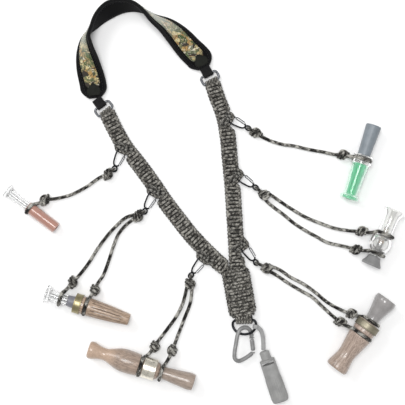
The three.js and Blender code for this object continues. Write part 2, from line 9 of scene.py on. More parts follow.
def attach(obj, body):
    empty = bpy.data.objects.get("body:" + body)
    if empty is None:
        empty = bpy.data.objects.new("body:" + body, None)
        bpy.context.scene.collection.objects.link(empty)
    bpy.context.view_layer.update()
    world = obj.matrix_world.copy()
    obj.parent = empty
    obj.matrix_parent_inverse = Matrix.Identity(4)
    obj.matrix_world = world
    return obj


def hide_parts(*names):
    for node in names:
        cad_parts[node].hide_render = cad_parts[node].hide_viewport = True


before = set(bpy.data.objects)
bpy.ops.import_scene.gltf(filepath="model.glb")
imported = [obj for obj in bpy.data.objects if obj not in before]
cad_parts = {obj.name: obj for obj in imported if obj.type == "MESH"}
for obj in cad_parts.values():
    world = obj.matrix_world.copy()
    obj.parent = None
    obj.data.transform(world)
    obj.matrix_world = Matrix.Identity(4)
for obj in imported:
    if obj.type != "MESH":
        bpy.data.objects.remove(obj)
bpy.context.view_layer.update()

MM = 0.001
UP = Vector((0, 0, 1))


def at(x, y, z=0.0):
    return Vector((x, y, z))


# ---------------------------------------------------------------- camera, floor and light
FRAME_WIDTH = 486.0  # of the surface, as the camera sees it
LENS, SENSOR = 85.0, 36.0

camera = bpy.data.objects.new("camera", bpy.data.cameras.new("camera"))
camera.data.lens, camera.data.sensor_width = LENS, SENSOR
camera.data.clip_start, camera.data.clip_end = 0.05, 20
camera.location = (0, 0, (FRAME_WIDTH * LENS / SENSOR + 8) * MM)
bpy.context.scene.collection.objects.link(camera)
bpy.context.scene.camera = camera
bpy.context.scene.view_settings.view_transform = "Standard"


def area_light(name, place, size, power, colour=(1, 1, 1)):
    lamp = bpy.data.objects.new(name, bpy.data.lights.new(name, "AREA"))
    lamp.data.size, lamp.data.energy, lamp.data.color = size, power, colour
    lamp.location = place
    lamp.rotation_euler = (-Vector(place)).to_track_quat("-Z", "Y").to_euler()
    bpy.context.scene.collection.objects.link(lamp)


area_light("top_light", (-0.15, 0.2, 1.9), 0.7, 21.0)
area_light("key_light", (-0.9, 0.9, 1.2), 0.7, 9.0)
area_light("fill_light", (1.2, -0.7, 1.1), 1.6, 3.0)


# ---------------------------------------------------------------- curves
def spline(points, per_span=8, closed=False):
    """Points of a centripetal Catmull-Rom curve through the given ones."""
    n = len(points)
    out = []
    for i in range(n if closed else n - 1):
        p1, p2 = points[i], points[(i + 1) % n]
        p0 = points[i - 1] if (i > 0 or closed) else p1 * 2 - p2
        p3 = points[(i + 2) % n] if (i + 2 < n or closed) else p2 * 2 - p1
        d0, d1, d2 = ((b - a).length ** 0.5 or 1e-4 for a, b in ((p0, p1), (p1, p2), (p2, p3)))
        m1 = ((p1 - p0) / d0 - (p2 - p0) / (d0 + d1) + (p2 - p1) / d1) * d1
        m2 = ((p2 - p1) / d1 - (p3 - p1) / (d1 + d2) + (p3 - p2) / d2) * d1
        for k in range(per_span):
            t = k / per_span
            out.append(
                p1 + m1 * t + (p2 * 3 - p1 * 3 - m1 * 2 - m2) * t * t + (p1 * 2 - p2 * 2 + m1 + m2) * t * t * t
            )
    if not closed:
        out.append(points[-1].copy())
    return out


def length_of(points):
    return sum((b - a).length for a, b in zip(points, points[1:]))


def resample(points, step):
    """The same line with equal steps of about the given length."""
    total = length_of(points)
    count = max(2, round(total / step))
    out, i, done = [points[0].copy()], 0, 0.0
    for k in range(1, count):
        goal = total * k / count
        while done + (points[i + 1] - points[i]).length < goal:
            done += (points[i + 1] - points[i]).length
            i += 1
        span = (points[i + 1] - points[i]).length
        out.append(points[i].lerp(points[i + 1], (goal - done) / max(span, 1e-9)))
    return out + [points[-1].copy()]


def smoothstep(x, low, high):
    t = min(1.0, max(0.0, (x - low) / (high - low)))
    return t * t * (3 - 2 * t)


class Line:
    """A flat curve with its place and frame at each distance along it."""

    def __init__(self, points):
        self.points = resample(spline([at(*p) for p in points], 12), 1.0)
        self.length = length_of(self.points)

    def frame(self, distance):
        share = min(1.0, max(0.0, distance / self.length)) * (len(self.points) - 1)
        i = min(len(self.points) - 2, int(share))
        a, b = self.points[i], self.points[i + 1]
        before, after = self.points[max(0, i - 2)], self.points[min(len(self.points) - 1, i + 3)]
        tangent = (after - before).normalized()
        over = distance - min(self.length, max(0.0, distance))
        point = a.lerp(b, share - i) + tangent * over
        return point, tangent, Vector((-tangent.y, tangent.x, 0)).normalized()


# ---------------------------------------------------------------- meshes
class Shape:
    """Vertices in millimetres, each with a lay: the distance along a cord, and the cosine and sine of the way
    round it. Flat pieces keep their distances along and across in it."""

    def __init__(self):
        self.verts, self.faces, self.lay, self.mats = [], [], [], []

    def add(self, verts, faces, lay=None, mats=None):
        base = len(self.verts)
        self.verts += verts
        self.faces += [tuple(base + i for i in face) for face in faces]
        self.lay += lay or [(0.0, 1.0, 0.0)] * len(verts)
        self.mats += mats or [0] * len(faces)
        return self

    def move(self, matrix):
        self.verts = [matrix @ v for v in self.verts]
        return self

    def merge(self, other, mat=None):
        mats = other.mats if mat is None else [mat] * len(other.faces)
        return self.add(other.verts, other.faces, other.lay, mats)


def skin(rings, sides, closed=False, turned=False):
    """Faces between rings of vertices that follow each other, with caps on the ends of an open row."""
    faces = []
    for i in range(rings if closed else rings - 1):
        a, b = i * sides, (i + 1) % rings * sides
        for k in range(sides):
            m = (k + 1) % sides
            faces.append((a + k, a + m, b + m, b + k))
    if not closed:
        faces.append(tuple(range(sides - 1, -1, -1)))
        faces.append(tuple(range((rings - 1) * sides, rings * sides)))
    return [face[:1] + face[:0:-1] for face in faces] if turned else faces


def thin_sheet(stations, across, point, sides_in=False):
    """A closed thin sheet. point gives the place and the lay of a vertex from its station, its share across
    from -1 to 1, and its layer. The faces along both sides look inwards if asked."""
    rows = across + 1
    size = (stations + 1) * rows
    verts, lay, faces = [], [], []
    for layer in (0, 1):
        for i in range(stations + 1):
            for k in range(rows):
                place, entry = point(i, 2 * k / across - 1, layer)
                verts.append(place)
                lay.append(entry)
    for i in range(stations):
        for k in range(across):
            a, b = i * rows + k, (i + 1) * rows + k
            faces += [(a, b, b + 1, a + 1), (size + a + 1, size + b + 1, size + b, size + a)]
        for k in (0, across):
            a, b = i * rows + k, (i + 1) * rows + k
            side = (a, size + a, size + b, b)
            faces.append(side if (k == 0) != sides_in else side[::-1])
    for i in (0, stations):
        for a in range(i * rows, i * rows + across):
            end = (a, size + a, size + a + 1, a + 1)
            faces.append(end if i else end[::-1])
    return Shape().add(verts, faces, lay)


def tube(points, radius, sides=10, closed=False, offset=0.0, wide=1.0, thick=1.0, reference=None, shape=None):
    """A round or oval bar along the points, added to the shape if one is given. wide lies across the reference
    direction and thick along it."""
    shape = shape or Shape()
    n = len(points)
    tangents = []
    for i in range(n):
        a = points[i - 1] if (i > 0 or closed) else points[i]
        b = points[(i + 1) % n] if (i + 1 < n or closed) else points[i]
        tangents.append((b - a).normalized())
    normal = reference or (UP if abs(tangents[0].z) < 0.8 else Vector((1, 0, 0)))
    normal = (normal - tangents[0] * normal.dot(tangents[0])).normalized()
    normals = [normal]
    for i in range(1, n):
        if reference is not None:
            normal = reference - tangents[i] * reference.dot(tangents[i])
        else:
            normal = normals[-1] - tangents[i] * normals[-1].dot(tangents[i])
        normals.append(normal.normalized())
    twist = 0.0
    if closed and reference is None:
        last = normals[-1] - tangents[0] * normals[-1].dot(tangents[0])
        side = tangents[0].cross(normals[0])
        twist = -math.atan2(last.dot(side), last.dot(normals[0]))
    verts, lay, along = [], [], offset
    for i in range(n):
        if i:
            along += (points[i] - points[i - 1]).length
        side = tangents[i].cross(normals[i])
        r = radius(i / (n - 1)) if callable(radius) else radius
        for k in range(sides):
            angle = 2 * math.pi * k / sides
            turn = angle + twist * i / n
            c, s = math.cos(turn), math.sin(turn)
            verts.append(points[i] + normals[i] * (c * r * thick) + side * (s * r * wide))
            lay.append((along, math.cos(angle), math.sin(angle)))
    return shape.add(verts, skin(n, sides, closed), lay)


def wire(points, radius, sides=12, closed=False, step=0.8, **options):
    """A round bar along a smooth curve through the points, with soft ends."""
    line = spline([at(*p) for p in points], 12, closed)
    if closed:
        line = resample(line + [line[0]], step)[:-1]
        return tube(line, radius, sides, True, **options)
    line = resample(line, step)
    last = len(line) - 1

    def soft(share):
        gap = min(share, 1 - share) * last * step
        return radius * (0.55 + 0.45 * min(1.0, gap / (0.6 * radius)) ** 0.5)

    return tube(line, soft, sides, False, **options)


def lathe(profile, sides=72, ripple=None):
    """A body turned about X from [x, radius] points. ripple gives a change of radius at each x and angle."""
    verts, lay = [], []
    for x, r in profile:
        for k in range(sides):
            angle = 2 * math.pi * k / sides
            radius = r + (ripple(x, angle, r) if ripple else 0.0)
            verts.append(at(x, radius * math.cos(angle), radius * math.sin(angle)))
            lay.append((x, math.cos(angle), math.sin(angle)))
    return Shape().add(verts, skin(len(profile), sides, True, True), lay)


GENTLE_BEND = 0.75  # radians: a corner that turns less than this becomes a long curve


def rounded(profile, fillet=0.45):
    """Softens a closed profile: long shallow bends become curves, and sharp corners get a small fillet."""
    points = [Vector((x, r)) for x, r in profile]
    out = []
    for i, b in enumerate(points):
        before, after = points[i - 1] - b, points[(i + 1) % len(points)] - b
        if before.length < 1e-6 or after.length < 1e-6:
            continue
        bend = math.pi - before.angle(after)
        shortest = min(before.length, after.length)
        cut = shortest * 0.48 if bend < GENTLE_BEND else min(fillet, shortest * 0.4)
        p, q = b + before.normalized() * cut, b + after.normalized() * cut
        steps = 6 if cut > 1.5 else 3
        for k in range(steps + 1):
            t = k / steps
            point = p.lerp(b, t).lerp(b.lerp(q, t), t)
            out.append((point.x, point.y))
    return out


def finer(profile, step=1.6):
    """The same closed profile with no stretch longer than the step."""
    out = []
    for (x0, r0), (x1, r1) in zip(profile, profile[1:] + profile[:1]):
        parts = max(1, math.ceil(math.hypot(x1 - x0, r1 - r0) / step))
        out += [(x0 + (x1 - x0) * k / parts, r0 + (r1 - r0) * k / parts) for k in range(parts)]
    return out


def block(low, high):
    """A closed box, for cutting."""
    corners = [at(x, y, z) for x in (low[0], high[0]) for y in (low[1], high[1]) for z in (low[2], high[2])]
    faces = [(0, 1, 3, 2), (4, 6, 7, 5), (0, 4, 5, 1), (2, 3, 7, 6), (0, 2, 6, 4), (1, 5, 7, 3)]
    return Shape().add(corners, faces)


def turn_x(angle):
    return Matrix.Rotation(math.radians(angle), 4, "X")


def turn_y(angle):
    return Matrix.Rotation(math.radians(angle), 4, "Y")


def turn_z(angle):
    return Matrix.Rotation(math.radians(angle), 4, "Z")


def shift(x, y, z=0.0):
    return Matrix.Translation((x, y, z))


def placing(place, heading, tilt=0.0):
    """The move of a part that is tilted about its length and then turned to its heading."""
    return Matrix.Translation(place) @ turn_z(heading) @ turn_x(tilt)


def hanging(place, heading, tilt):
    """The move of a flat loop that is turned about its own Y and then headed."""
    return Matrix.Translation(place) @ turn_z(heading) @ turn_y(-tilt)


def to_mesh(name, shape):
    mesh = bpy.data.meshes.new(name)
    mesh.from_pydata([v * MM for v in shape.verts], [], shape.faces)
    lay = mesh.attributes.new("lay", "FLOAT_VECTOR", "POINT")
    lay.data.foreach_set("vector", [value for entry in shape.lay for value in entry])
    mesh.polygons.foreach_set("material_index", shape.mats)
    mesh.validate()
    return mesh


def piece(name, shape, body, materials, stands_for="", matrix=None, sharp=38, cutters=()):
    """Makes an object of the shape, cuts it, and puts it on its body, in place of a CAD node if one is named."""
    thing = bpy.data.objects.new(name, to_mesh(name, shape))
    bpy.context.scene.collection.objects.link(thing)
    for material in materials if isinstance(materials, list) else [materials]:
        thing.data.materials.append(material)
    tools = []
    for i, cutter in enumerate(cutters):
        tool = bpy.data.objects.new(f"{name}_cut{i}", to_mesh(f"{name}_cut{i}", cutter))
        bpy.context.scene.collection.objects.link(tool)
        tools.append(tool)
        modifier = thing.modifiers.new("cut", "BOOLEAN")
        modifier.operation, modifier.object, modifier.solver = "DIFFERENCE", tool, "EXACT"
    if thing.modifiers:
        bpy.context.view_layer.update()
        final = bpy.data.meshes.new_from_object(thing.evaluated_get(bpy.context.evaluated_depsgraph_get()))
        thing.modifiers.clear()
        old, thing.data = thing.data, final
        bpy.data.meshes.remove(old)
        final.name = name
    for tool in tools:
        mesh = tool.data
        bpy.data.objects.remove(tool)
        bpy.data.meshes.remove(mesh)
    thing.data.polygons.foreach_set("use_smooth", [True] * len(thing.data.polygons))
    thing.data.set_sharp_from_angle(angle=math.radians(sharp))
    if matrix is not None:
        thing.matrix_world = matrix
    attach(thing, body)
    if stands_for:
        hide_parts(stands_for)
    return thing


# ---------------------------------------------------------------- materials
def linear(red, green, blue):
    """A colour given as 0-255 screen values."""
    values = (c / 255 for c in (red, green, blue))
    return tuple(v / 12.92 if v <= 0.0393 else ((v + 0.055) / 1.055) ** 2.4 for v in values) + (1.0,)


class Finish:
    """A material under construction: short calls for the nodes that it needs."""

    def __init__(self, name, **values):
        self.material = bpy.data.materials.new(name)
        self.material.use_nodes = True
        self.tree = self.material.node_tree
        self.shader = self.tree.nodes["Principled BSDF"]
        for socket, value in values.items():
            self.shader.inputs[socket.replace("_", " ")].default_value = value
        self.bumps = None

    def node(self, kind, inputs=None, **settings):
        node = self.tree.nodes.new(kind)
        for key, value in settings.items():
            setattr(node, key, value)
        for key, value in (inputs or {}).items():
            self.feed(value, node.inputs[key])
        return node

    def feed(self, value, socket):
        if isinstance(value, bpy.types.NodeSocket):
            self.tree.links.new(value, socket)
        else:
            socket.default_value = value

    def math(self, operation, a, b=0.0, c=0.0):
        return self.node("ShaderNodeMath", {0: a, 1: b, 2: c}, operation=operation).outputs[0]

    def place(self, stretch=(1, 1, 1)):
        """Object coordinates in millimetres, each scaled by its own factor."""
        source = self.node("ShaderNodeTexCoord").outputs["Object"]
        scale = tuple(s / MM for s in stretch)
        return self.node("ShaderNodeVectorMath", {0: source, 1: scale}, operation="MULTIPLY").outputs[0]

    def noise(self, vector, scale, detail=3.0, rough=0.55, distortion=0.0):
        inputs = {
            "Vector": vector, "Scale": scale, "Detail": detail, "Roughness": rough, "Distortion": distortion,
        }
        return self.node("ShaderNodeTexNoise", inputs).outputs["Fac"]

    def ramp(self, factor, *stops, hard=False):
        """A colour ramp. Each stop is a place and a colour: three screen values, or four linear ones."""
        node = self.node("ShaderNodeValToRGB", {"Fac": factor})
        if hard:
            node.color_ramp.interpolation = "CONSTANT"
        elements = node.color_ramp.elements
        while len(elements) < len(stops):
            elements.new(0.5)
        for element, (place, colour) in zip(elements, stops):
            element.position, element.color = place, colour if len(colour) == 4 else linear(*colour)
        return node.outputs["Color"]

    def mix(self, factor, a, b, blend="MIX"):
        node = self.node("ShaderNodeMix", data_type="RGBA", blend_type=blend)
        self.feed(factor, node.inputs[0])
        self.feed(a, node.inputs[6])
        self.feed(b, node.inputs[7])
        return node.outputs[2]

    def range(self, value, low, high, start=0.0, end=1.0):
        """The value mapped from start...end to low...high."""
        inputs = {"Value": value, "From Min": start, "From Max": end, "To Min": low, "To Max": high}
        return self.node("ShaderNodeMapRange", inputs).outputs[0]

    def sine(self, value, factor):
        return self.math("SINE", self.math("MULTIPLY", value, factor))

    def split(self, vector):
        return tuple(self.node("ShaderNodeSeparateXYZ", {0: vector}).outputs)

    def lay(self):
        """The lay of the shape: along it, and the cosine and sine of the way round."""
        return self.split(self.node("ShaderNodeAttribute", attribute_name="lay").outputs["Vector"])

    def shade(self, colour, grey):
        """The colour multiplied by a grey value."""
        grey = self.node("ShaderNodeCombineXYZ", {0: grey, 1: grey, 2: grey}).outputs[0]
        return self.mix(1.0, colour, grey, "MULTIPLY")

    def bump(self, height, distance):
        """Adds a bump, in millimetres, on top of the earlier ones."""
        node = self.node("ShaderNodeBump", {"Height": height, "Distance": distance * MM})
        if self.bumps is not None:
            self.tree.links.new(self.bumps, node.inputs["Normal"])
        self.bumps = node.outputs["Normal"]
        self.tree.links.new(self.bumps, self.shader.inputs["Normal"])

    def colour(self, value):
        self.feed(value, self.shader.inputs["Base Color"])

    def rough(self, value):
        self.feed(value, self.shader.inputs["Roughness"])


CARRIERS = 8.0  # yarns in each direction of the cord's sheath
CARRIER_STEP = 1.25  # mm along the cord from one yarn to the next
# ramp stops of the yarn colours: black, grey and pale greys
LOOSE_YARNS = [(0.0, (30, 29, 28)), (0.43, (80, 78, 74)), (0.52, (138, 136, 130)), (0.61, (190, 188, 181))]
WOVEN_YARNS = [(0.0, (70, 68, 64)), (0.42, (116, 113, 107)), (0.52, (152, 149, 142)), (0.61, (192, 189, 181))]


def camo_cord(name, shade=1.0, streak_length=7.5, woven=False):
    """Braided cord with streaks of black, grey and pale grey yarns running round it in both directions.
    A woven cord gets painted shade at its flanks, where it lies against its neighbours."""
    f = Finish(name, Roughness=0.88, Sheen_Weight=0.08, Sheen_Roughness=0.5, Specular_IOR_Level=0.12)
    along, cosine, sine = f.lay()
    steps = f.math("DIVIDE", along, CARRIER_STEP)
    turns = f.math("MULTIPLY", f.math("ARCTAN2", sine, cosine), CARRIERS / (2 * math.pi))
    ways = [f.math("ADD", steps, turns), f.math("SUBTRACT", steps, turns)]
    picks = [f.math("FLOOR", way) for way in ways]
    spread = 0.7 if woven else 0.42
    patch = f.node("ShaderNodeCombineXYZ", {
        0: f.math("DIVIDE", along, streak_length),
        1: f.math("MULTIPLY", cosine, spread),
        2: f.math("MULTIPLY", sine, spread),
    }).outputs[0]
    streak = f.noise(patch, 1.0, 1.0, 0.5)
    yarns = [(place, [c * shade for c in yarn]) for place, yarn in (WOVEN_YARNS if woven else LOOSE_YARNS)]
    colours = []
    for i, pick in enumerate(picks):
        key = f.math("ADD", f.math("MULTIPLY", f.math("FLOORED_MODULO", pick, CARRIERS), 3.7), i * 17.0)
        value = f.node("ShaderNodeTexWhiteNoise", {"W": key}, noise_dimensions="1D").outputs["Value"]
        colours.append(f.ramp(f.math("ADD", streak, f.range(value, -0.1, 0.1)), *yarns, hard=True))
    over = f.math("FLOORED_MODULO", f.math("ADD", picks[0], picks[1]), 2.0)
    waves = [f.math("ABSOLUTE", f.sine(way, math.pi)) for way in ways]
    height = f.math("MULTIPLY", waves[0], waves[1])
    shadow = f.range(f.math("POWER", height, 0.5), 0.5, 1.08)
    fuzz = f.noise(f.place(), 1.6, 4)
    # grime: random tone from noise, which for a woven cord also takes the painted flank shade below
    grime_and_flank_shade = f.range(fuzz, 0.8, 1.2)
    if woven:
        # painted shade: a woven cord's colour is darkened at its flanks, where it lies against its neighbours
        painted_flank_shade = f.range(f.math("ABSOLUTE", cosine), 0.06, 1.0, 0.3, 0.94)
        grime_and_flank_shade = f.math("MULTIPLY", grime_and_flank_shade, painted_flank_shade)
    f.colour(f.shade(f.shade(f.mix(over, colours[0], colours[1]), shadow), grime_and_flank_shade))
    f.bump(height, 0.32)
    f.bump(fuzz, 0.08)
    return f.material


def neoprene(name, base, weave=0.9, gloss=0.8):
    """Knit-faced foam rubber. weave is the pitch of the knit in millimetres."""
    f = Finish(name, Sheen_Weight=0.02, Sheen_Roughness=0.45, Specular_IOR_Level=0.08)
    x, y, _ = f.split(f.place())
    knit = f.math("MULTIPLY", f.sine(x, 2 * math.pi / weave), f.sine(y, 2 * math.pi / weave))
    wear = f.noise(f.place(), 0.12, 5)
    f.colour(f.ramp(wear, (0.3, base), (0.75, [c * 1.35 + 3 for c in base])))
    f.rough(f.range(wear, gloss - 0.1, gloss + 0.12))
    f.bump(knit, 0.06)
    f.bump(f.noise(f.place(), 2.2, 4), 0.12)
    return f.material


RIB_PITCH, CROSS_PITCH = 1.1, 1.4  # mm, of the tape's weave


def webbing_cloth(name, base=(16, 16, 17)):
    """Ribbed nylon tape."""
    f = Finish(name, Sheen_Weight=0.02, Specular_IOR_Level=0.16)
    along, across, _ = f.lay()
    ribs, cross = f.sine(along, 2 * math.pi / RIB_PITCH), f.sine(across, 2 * math.pi / CROSS_PITCH)
    twill = f.math("MULTIPLY", ribs, cross)
    wear = f.noise(f.place(), 0.4, 4)
    f.colour(f.ramp(wear, (0.3, base), (0.8, [c * 1.6 + 6 for c in base])))
    f.rough(f.range(twill, 0.5, 0.75))
    f.bump(twill, 0.18)
    return f.material


STRAP_MIDDLE = 128.0  # mm along the neck strap from its end


def camo_print(name):
    """Printed cloth with leaf, bark and reed shapes in greens and tans, paler in the strap's middle."""
    f = Finish(name, Roughness=0.82, Sheen_Weight=0.2)
    base = f.noise(f.place(), 0.1, 4, 0.6, 0.8)
    ground = f.ramp(
        base, (0.30, (44, 50, 32)), (0.42, (86, 98, 62)), (0.52, (134, 124, 88)), (0.62, (176, 158, 112)),
        (0.72, (112, 84, 54)),
    )
    blades = f.node(
        "ShaderNodeTexVoronoi", {"Vector": f.place((1.0, 0.42, 0.42)), "Scale": 0.24, "Randomness": 1.0},
        feature="DISTANCE_TO_EDGE",
    ).outputs["Distance"]
    leaf = f.node("ShaderNodeTexVoronoi", {"Vector": f.place((0.5, 1.0, 1.0)), "Scale": 0.2})
    tint = f.node("ShaderNodeSeparateColor", {0: leaf.outputs["Color"]}).outputs[0]
    leaves = f.ramp(
        tint, (0.0, (62, 78, 36)), (0.25, (192, 178, 130)), (0.42, (82, 96, 58)), (0.6, (160, 128, 76)),
        (0.78, (46, 38, 28)), (0.88, (118, 122, 98)), hard=True,
    )
    patch = f.math("GREATER_THAN", f.noise(f.place(), 0.14, 2), 0.46)
    stems = f.math("LESS_THAN", blades, 0.05)
    bright = f.math("GREATER_THAN", f.noise(f.place((0.4, 1, 1)), 0.3, 2, 0.5, 1.5), 0.63)
    from_middle = f.math("ABSOLUTE", f.math("SUBTRACT", f.lay()[0], STRAP_MIDDLE))
    paler = f.range(from_middle, 0.5, 0.0, STRAP_MIDDLE - 78, STRAP_MIDDLE - 46)
    cloth = f.mix(patch, ground, leaves)
    cloth = f.mix(f.math("MULTIPLY", stems, 0.85), cloth, linear(38, 34, 26))
    cloth = f.mix(f.math("MULTIPLY", bright, 0.75), cloth, linear(222, 216, 194))
    f.colour(f.mix(paler, cloth, linear(206, 208, 200)))
    x, y, _ = f.split(f.place())
    f.bump(f.math("MULTIPLY", f.sine(x, 9.0), f.sine(y, 9.0)), 0.05)
    return f.material


def metal(name, colour, rough=0.3, brushed=(1, 1, 1), wear=0.1, metallic=1.0, **values):
    """Wire or sheet metal with faint scratches and uneven polish."""
    f = Finish(name, Metallic=metallic, **values)
    cloudy = f.noise(f.place(), 0.22, 5)
    fine = f.noise(f.place(brushed), 3.5, 3)
    base = linear(*colour)
    dark = tuple(c * 0.72 for c in base[:3]) + (1,)
    f.colour(f.ramp(cloudy, (0.3, dark), (0.62, base)))
    f.rough(f.math("ADD", f.range(fine, rough - wear, rough + wear), f.range(cloudy, -0.03, 0.08)))
    f.bump(fine, 0.03)
    return f.material


def wood(name, light, middle, dark, scale=0.5, figure=1.4, grooves=None, pale=None):
    """Varnished hardwood with its grain along the call. grooves says where cut flutes start and end and how
    many there are; the flutes get painted shade. pale says where a paler far end starts to fade and where it is
    gone, and its colour."""
    f = Finish(name, Coat_Weight=0.45, Coat_Roughness=0.12, Specular_IOR_Level=0.4)
    flow = f.noise(f.place((0.12, 1, 1)), scale * 0.55, 3, 0.5, figure)
    fibres = f.noise(f.place((0.06, 1, 1)), 2.6, 4, 0.65)
    grain = f.math("ADD", f.math("MULTIPLY", f.sine(flow, 34.0), 0.22), f.math("MULTIPLY", fibres, 0.75))
    body = f.ramp(grain, (0.12, dark), (0.38, middle), (0.68, light))
    blotch = f.noise(f.place((0.5, 1, 1)), 0.09, 4, 0.6, 0.6)
    body = f.mix(f.range(blotch, 0.0, 0.75), body, linear(*middle))
    if grooves:
        along, cosine, sine = f.lay()
        low, high, count = grooves
        wave = f.math("COSINE", f.math("MULTIPLY", f.math("ARCTAN2", sine, cosine), count))
        inside = f.math("MULTIPLY", f.math("GREATER_THAN", along, low), f.math("LESS_THAN", along, high))
        line = f.math("MULTIPLY", f.range(wave, -1.6, 1.0), inside)
        share = f.math("MAXIMUM", f.math("MULTIPLY", line, 0.9), 0.0)
        # painted shade: the flutes' colour is darkened towards the bottoms of their grooves
        body = f.mix(share, body, linear(*(c * 0.62 for c in dark)))
    if pale:
        start, end, colour = pale
        body = f.mix(f.range(f.lay()[0], 0.55, 0.0, start, end), body, linear(*colour))
    f.colour(body)
    f.rough(f.range(fibres, 0.24, 0.46))
    f.bump(fibres, 0.06)
    return f.material


def plastic(name, colour, rough=0.4, mottled=0.06, frosted=0.0, **values):
    """Moulded plastic, smooth or frosted."""
    f = Finish(name, **values)
    cloudy = f.noise(f.place(), 0.12, 4)
    speck = f.noise(f.place(), 3.0, 3)
    base = linear(*colour)
    dark = tuple(c * (1 - mottled * 4) for c in base[:3]) + (1,)
    f.colour(f.ramp(cloudy, (0.3, dark), (0.65, base)))
    f.rough(f.range(speck, rough - 0.06, rough + 0.08))
    f.bump(speck, 0.03 + frosted)
    return f.material


def acrylic(name, colour, deep, transmission=0.9, rough=0.05):
    """Cast acrylic, polished, with a slight cloud in its tint."""
    f = Finish(name, Transmission_Weight=transmission, IOR=1.49)
    cloud = f.noise(f.place((0.4, 1, 1)), 0.1, 3)
    f.colour(f.ramp(cloud, (0.3, deep), (0.66, colour)))
    f.rough(f.range(f.noise(f.place((0.2, 1, 1)), 1.4, 3), rough * 0.6, rough * 1.8))
    return f.material


def cork(name):
    f = Finish(name, Specular_IOR_Level=0.2)
    cells = f.node("ShaderNodeTexVoronoi", {"Vector": f.place(), "Scale": 1.1}).outputs["Distance"]
    f.colour(f.ramp(cells, (0.1, (196, 154, 106)), (0.7, (122, 84, 52))))
    f.rough(f.range(cells, 0.8, 0.95))
    f.bump(cells, 0.2)
    return f.material


CAMO_CORD = camo_cord("paracord")
WOVEN_CORD = camo_cord("paracord_woven", 0.95, 2.4, True)
# the core cords' camo cord at 0.4 brightness: painted shade on the core deep inside the weave
SHADED_CORE_CORD = camo_cord("paracord_core_shaded", 0.4)
COVER_CORD = camo_cord("paracord_cover", 0.84, 4.0)
PAD_FOAM = neoprene("neck_foam", (9, 9, 10))
BINDING = webbing_cloth("edge_binding", (8, 8, 9))
THREAD = neoprene("sewing_thread", (44, 44, 46), 0.4, 0.55)
CAMO_CLOTH = camo_print("camo_cloth")
WEBBING = webbing_cloth("webbing")
GLOSSY_PATCH = plastic("glossy_patch", (15, 18, 11), 0.5, 0.05, 0.3, Specular_IOR_Level=0.16)
LINK_STEEL = metal("link_steel", (92, 94, 98), 0.26)
GUNMETAL = metal("gunmetal", (44, 45, 48), 0.34)
GATE_STEEL = metal("gate_steel", (110, 112, 116), 0.3)
GREY_ALLOY = metal("grey_alloy", (143, 143, 143), 0.5, metallic=0.35)
STRAP_RUBBER = plastic("strap_rubber", (150, 150, 150), 0.62)
WHISTLE_PLASTIC = plastic("whistle_plastic", (146, 146, 145), 0.42)
TURNED = (0.2, 3, 3)  # fine marks that run round a turned band
BRASS = metal("brass", (166, 156, 122), 0.36, TURNED, 0.05)
DULL_BRASS = metal("dull_brass", (146, 140, 123), 0.46, TURNED, 0.05)
PALE_BRASS = metal("pale_brass", (246, 240, 226), 0.26, TURNED, 0.05)
TINTED = acrylic("tinted_acrylic", (183, 141, 127), (166, 124, 112), 0.1, 0.1)
CLEAR = acrylic("clear_acrylic", (254, 254, 254), (246, 247, 247), 0.94, 0.03)
SMOKY_CLEAR = acrylic("smoky_clear_acrylic", (248, 248, 246), (232, 232, 230), 0.82, 0.05)
GREEN = acrylic("green_acrylic", (144, 217, 179), (115, 207, 161), 0.5, 0.06)
LIGHT_WOOD = wood("light_wood", (194, 170, 149), (160, 138, 119), (104, 84, 68), grooves=(-68.0, -30.0, 14.0))
PALE_END = (-62.0, -52.0, (198, 170, 147))
DARK_WOOD = wood("dark_wood", (190, 166, 146), (156, 138, 125), (96, 83, 73), 0.34, 2.6, pale=PALE_END)
DULL_WOOD = wood("dull_wood", (172, 155, 141), (150, 135, 124), (112, 99, 89), 0.6, 1.0)
FIGURED_WOOD = wood("figured_wood", (192, 172, 156), (160, 142, 130), (104, 89, 79), 0.26, 3.2)
TIP_PLASTIC = plastic("tip_plastic", (124, 124, 131), 0.35)
GREY_PLASTIC = plastic("grey_plastic", (124, 132, 139), 0.42, 0.04, 0.05)
FROSTED = plastic("frosted_grey", (132, 132, 132), 0.5, 0.05, 0.06)
GLOSSY_GREY = plastic("glossy_grey", (146, 143, 142), 0.25, 0.05, Coat_Weight=0.5)
REED_FILM = plastic("reed_film", (226, 220, 200), 0.25, 0.03, Transmission_Weight=0.35)
CORK = cork("cork")

# ---------------------------------------------------------------- dimensions shared with the CAD
CORD = 4.0
PULLED_CORD = 1.75  # radius of the cord where it is pulled tight
GAP = 0.3
LINK_WIRE, LINK_LENGTH, LINK_DEPTH, LINK_HEIGHT = 2.8, 24.0, 13.0, 4.0
PAD_WIDTH, PAD_THICKNESS, PANEL_WIDTH = 30.0, 4.4, 18.0
BAR_HEIGHT, BAR_IN_HOOK, HOOK_TILT = 5.6, 3.8, 37.5
# where each link ring and each hook's cord bar lies, and its heading in degrees
LINKS = {"left": (at(-119, 113, LINK_HEIGHT), 127), "right": (at(9, 150, LINK_HEIGHT), 118)}
HOOKS = [
    (at(-97.5, 61, BAR_HEIGHT), -112), (at(-59.5, 9.2, BAR_HEIGHT), -117), (at(-0.7, -69.6, BAR_HEIGHT), -126),
    (at(35, 99.6, BAR_HEIGHT), -27), (at(45.5, 30.5, BAR_HEIGHT), -34), (at(50.7, -54.7, BAR_HEIGHT), -52),
]
FIRST_KNOTS = [(-114.7, 34), (-78.3, -16.2), (-15.6, -98), (64, 83.2), (74.9, 9.7), (77.5, -78.5)]


# ---------------------------------------------------------------- neck strap
STRAP_ROUTE = [
    (-130, 128), (-132, 143), (-137, 164), (-140, 183), (-139, 197), (-131, 209), (-122, 221), (-109, 231),
    (-93, 235), (-79, 233), (-68, 227), (-57, 219), (-43, 211), (-29, 199), (-16, 185), (-4, 173), (1, 164),
]


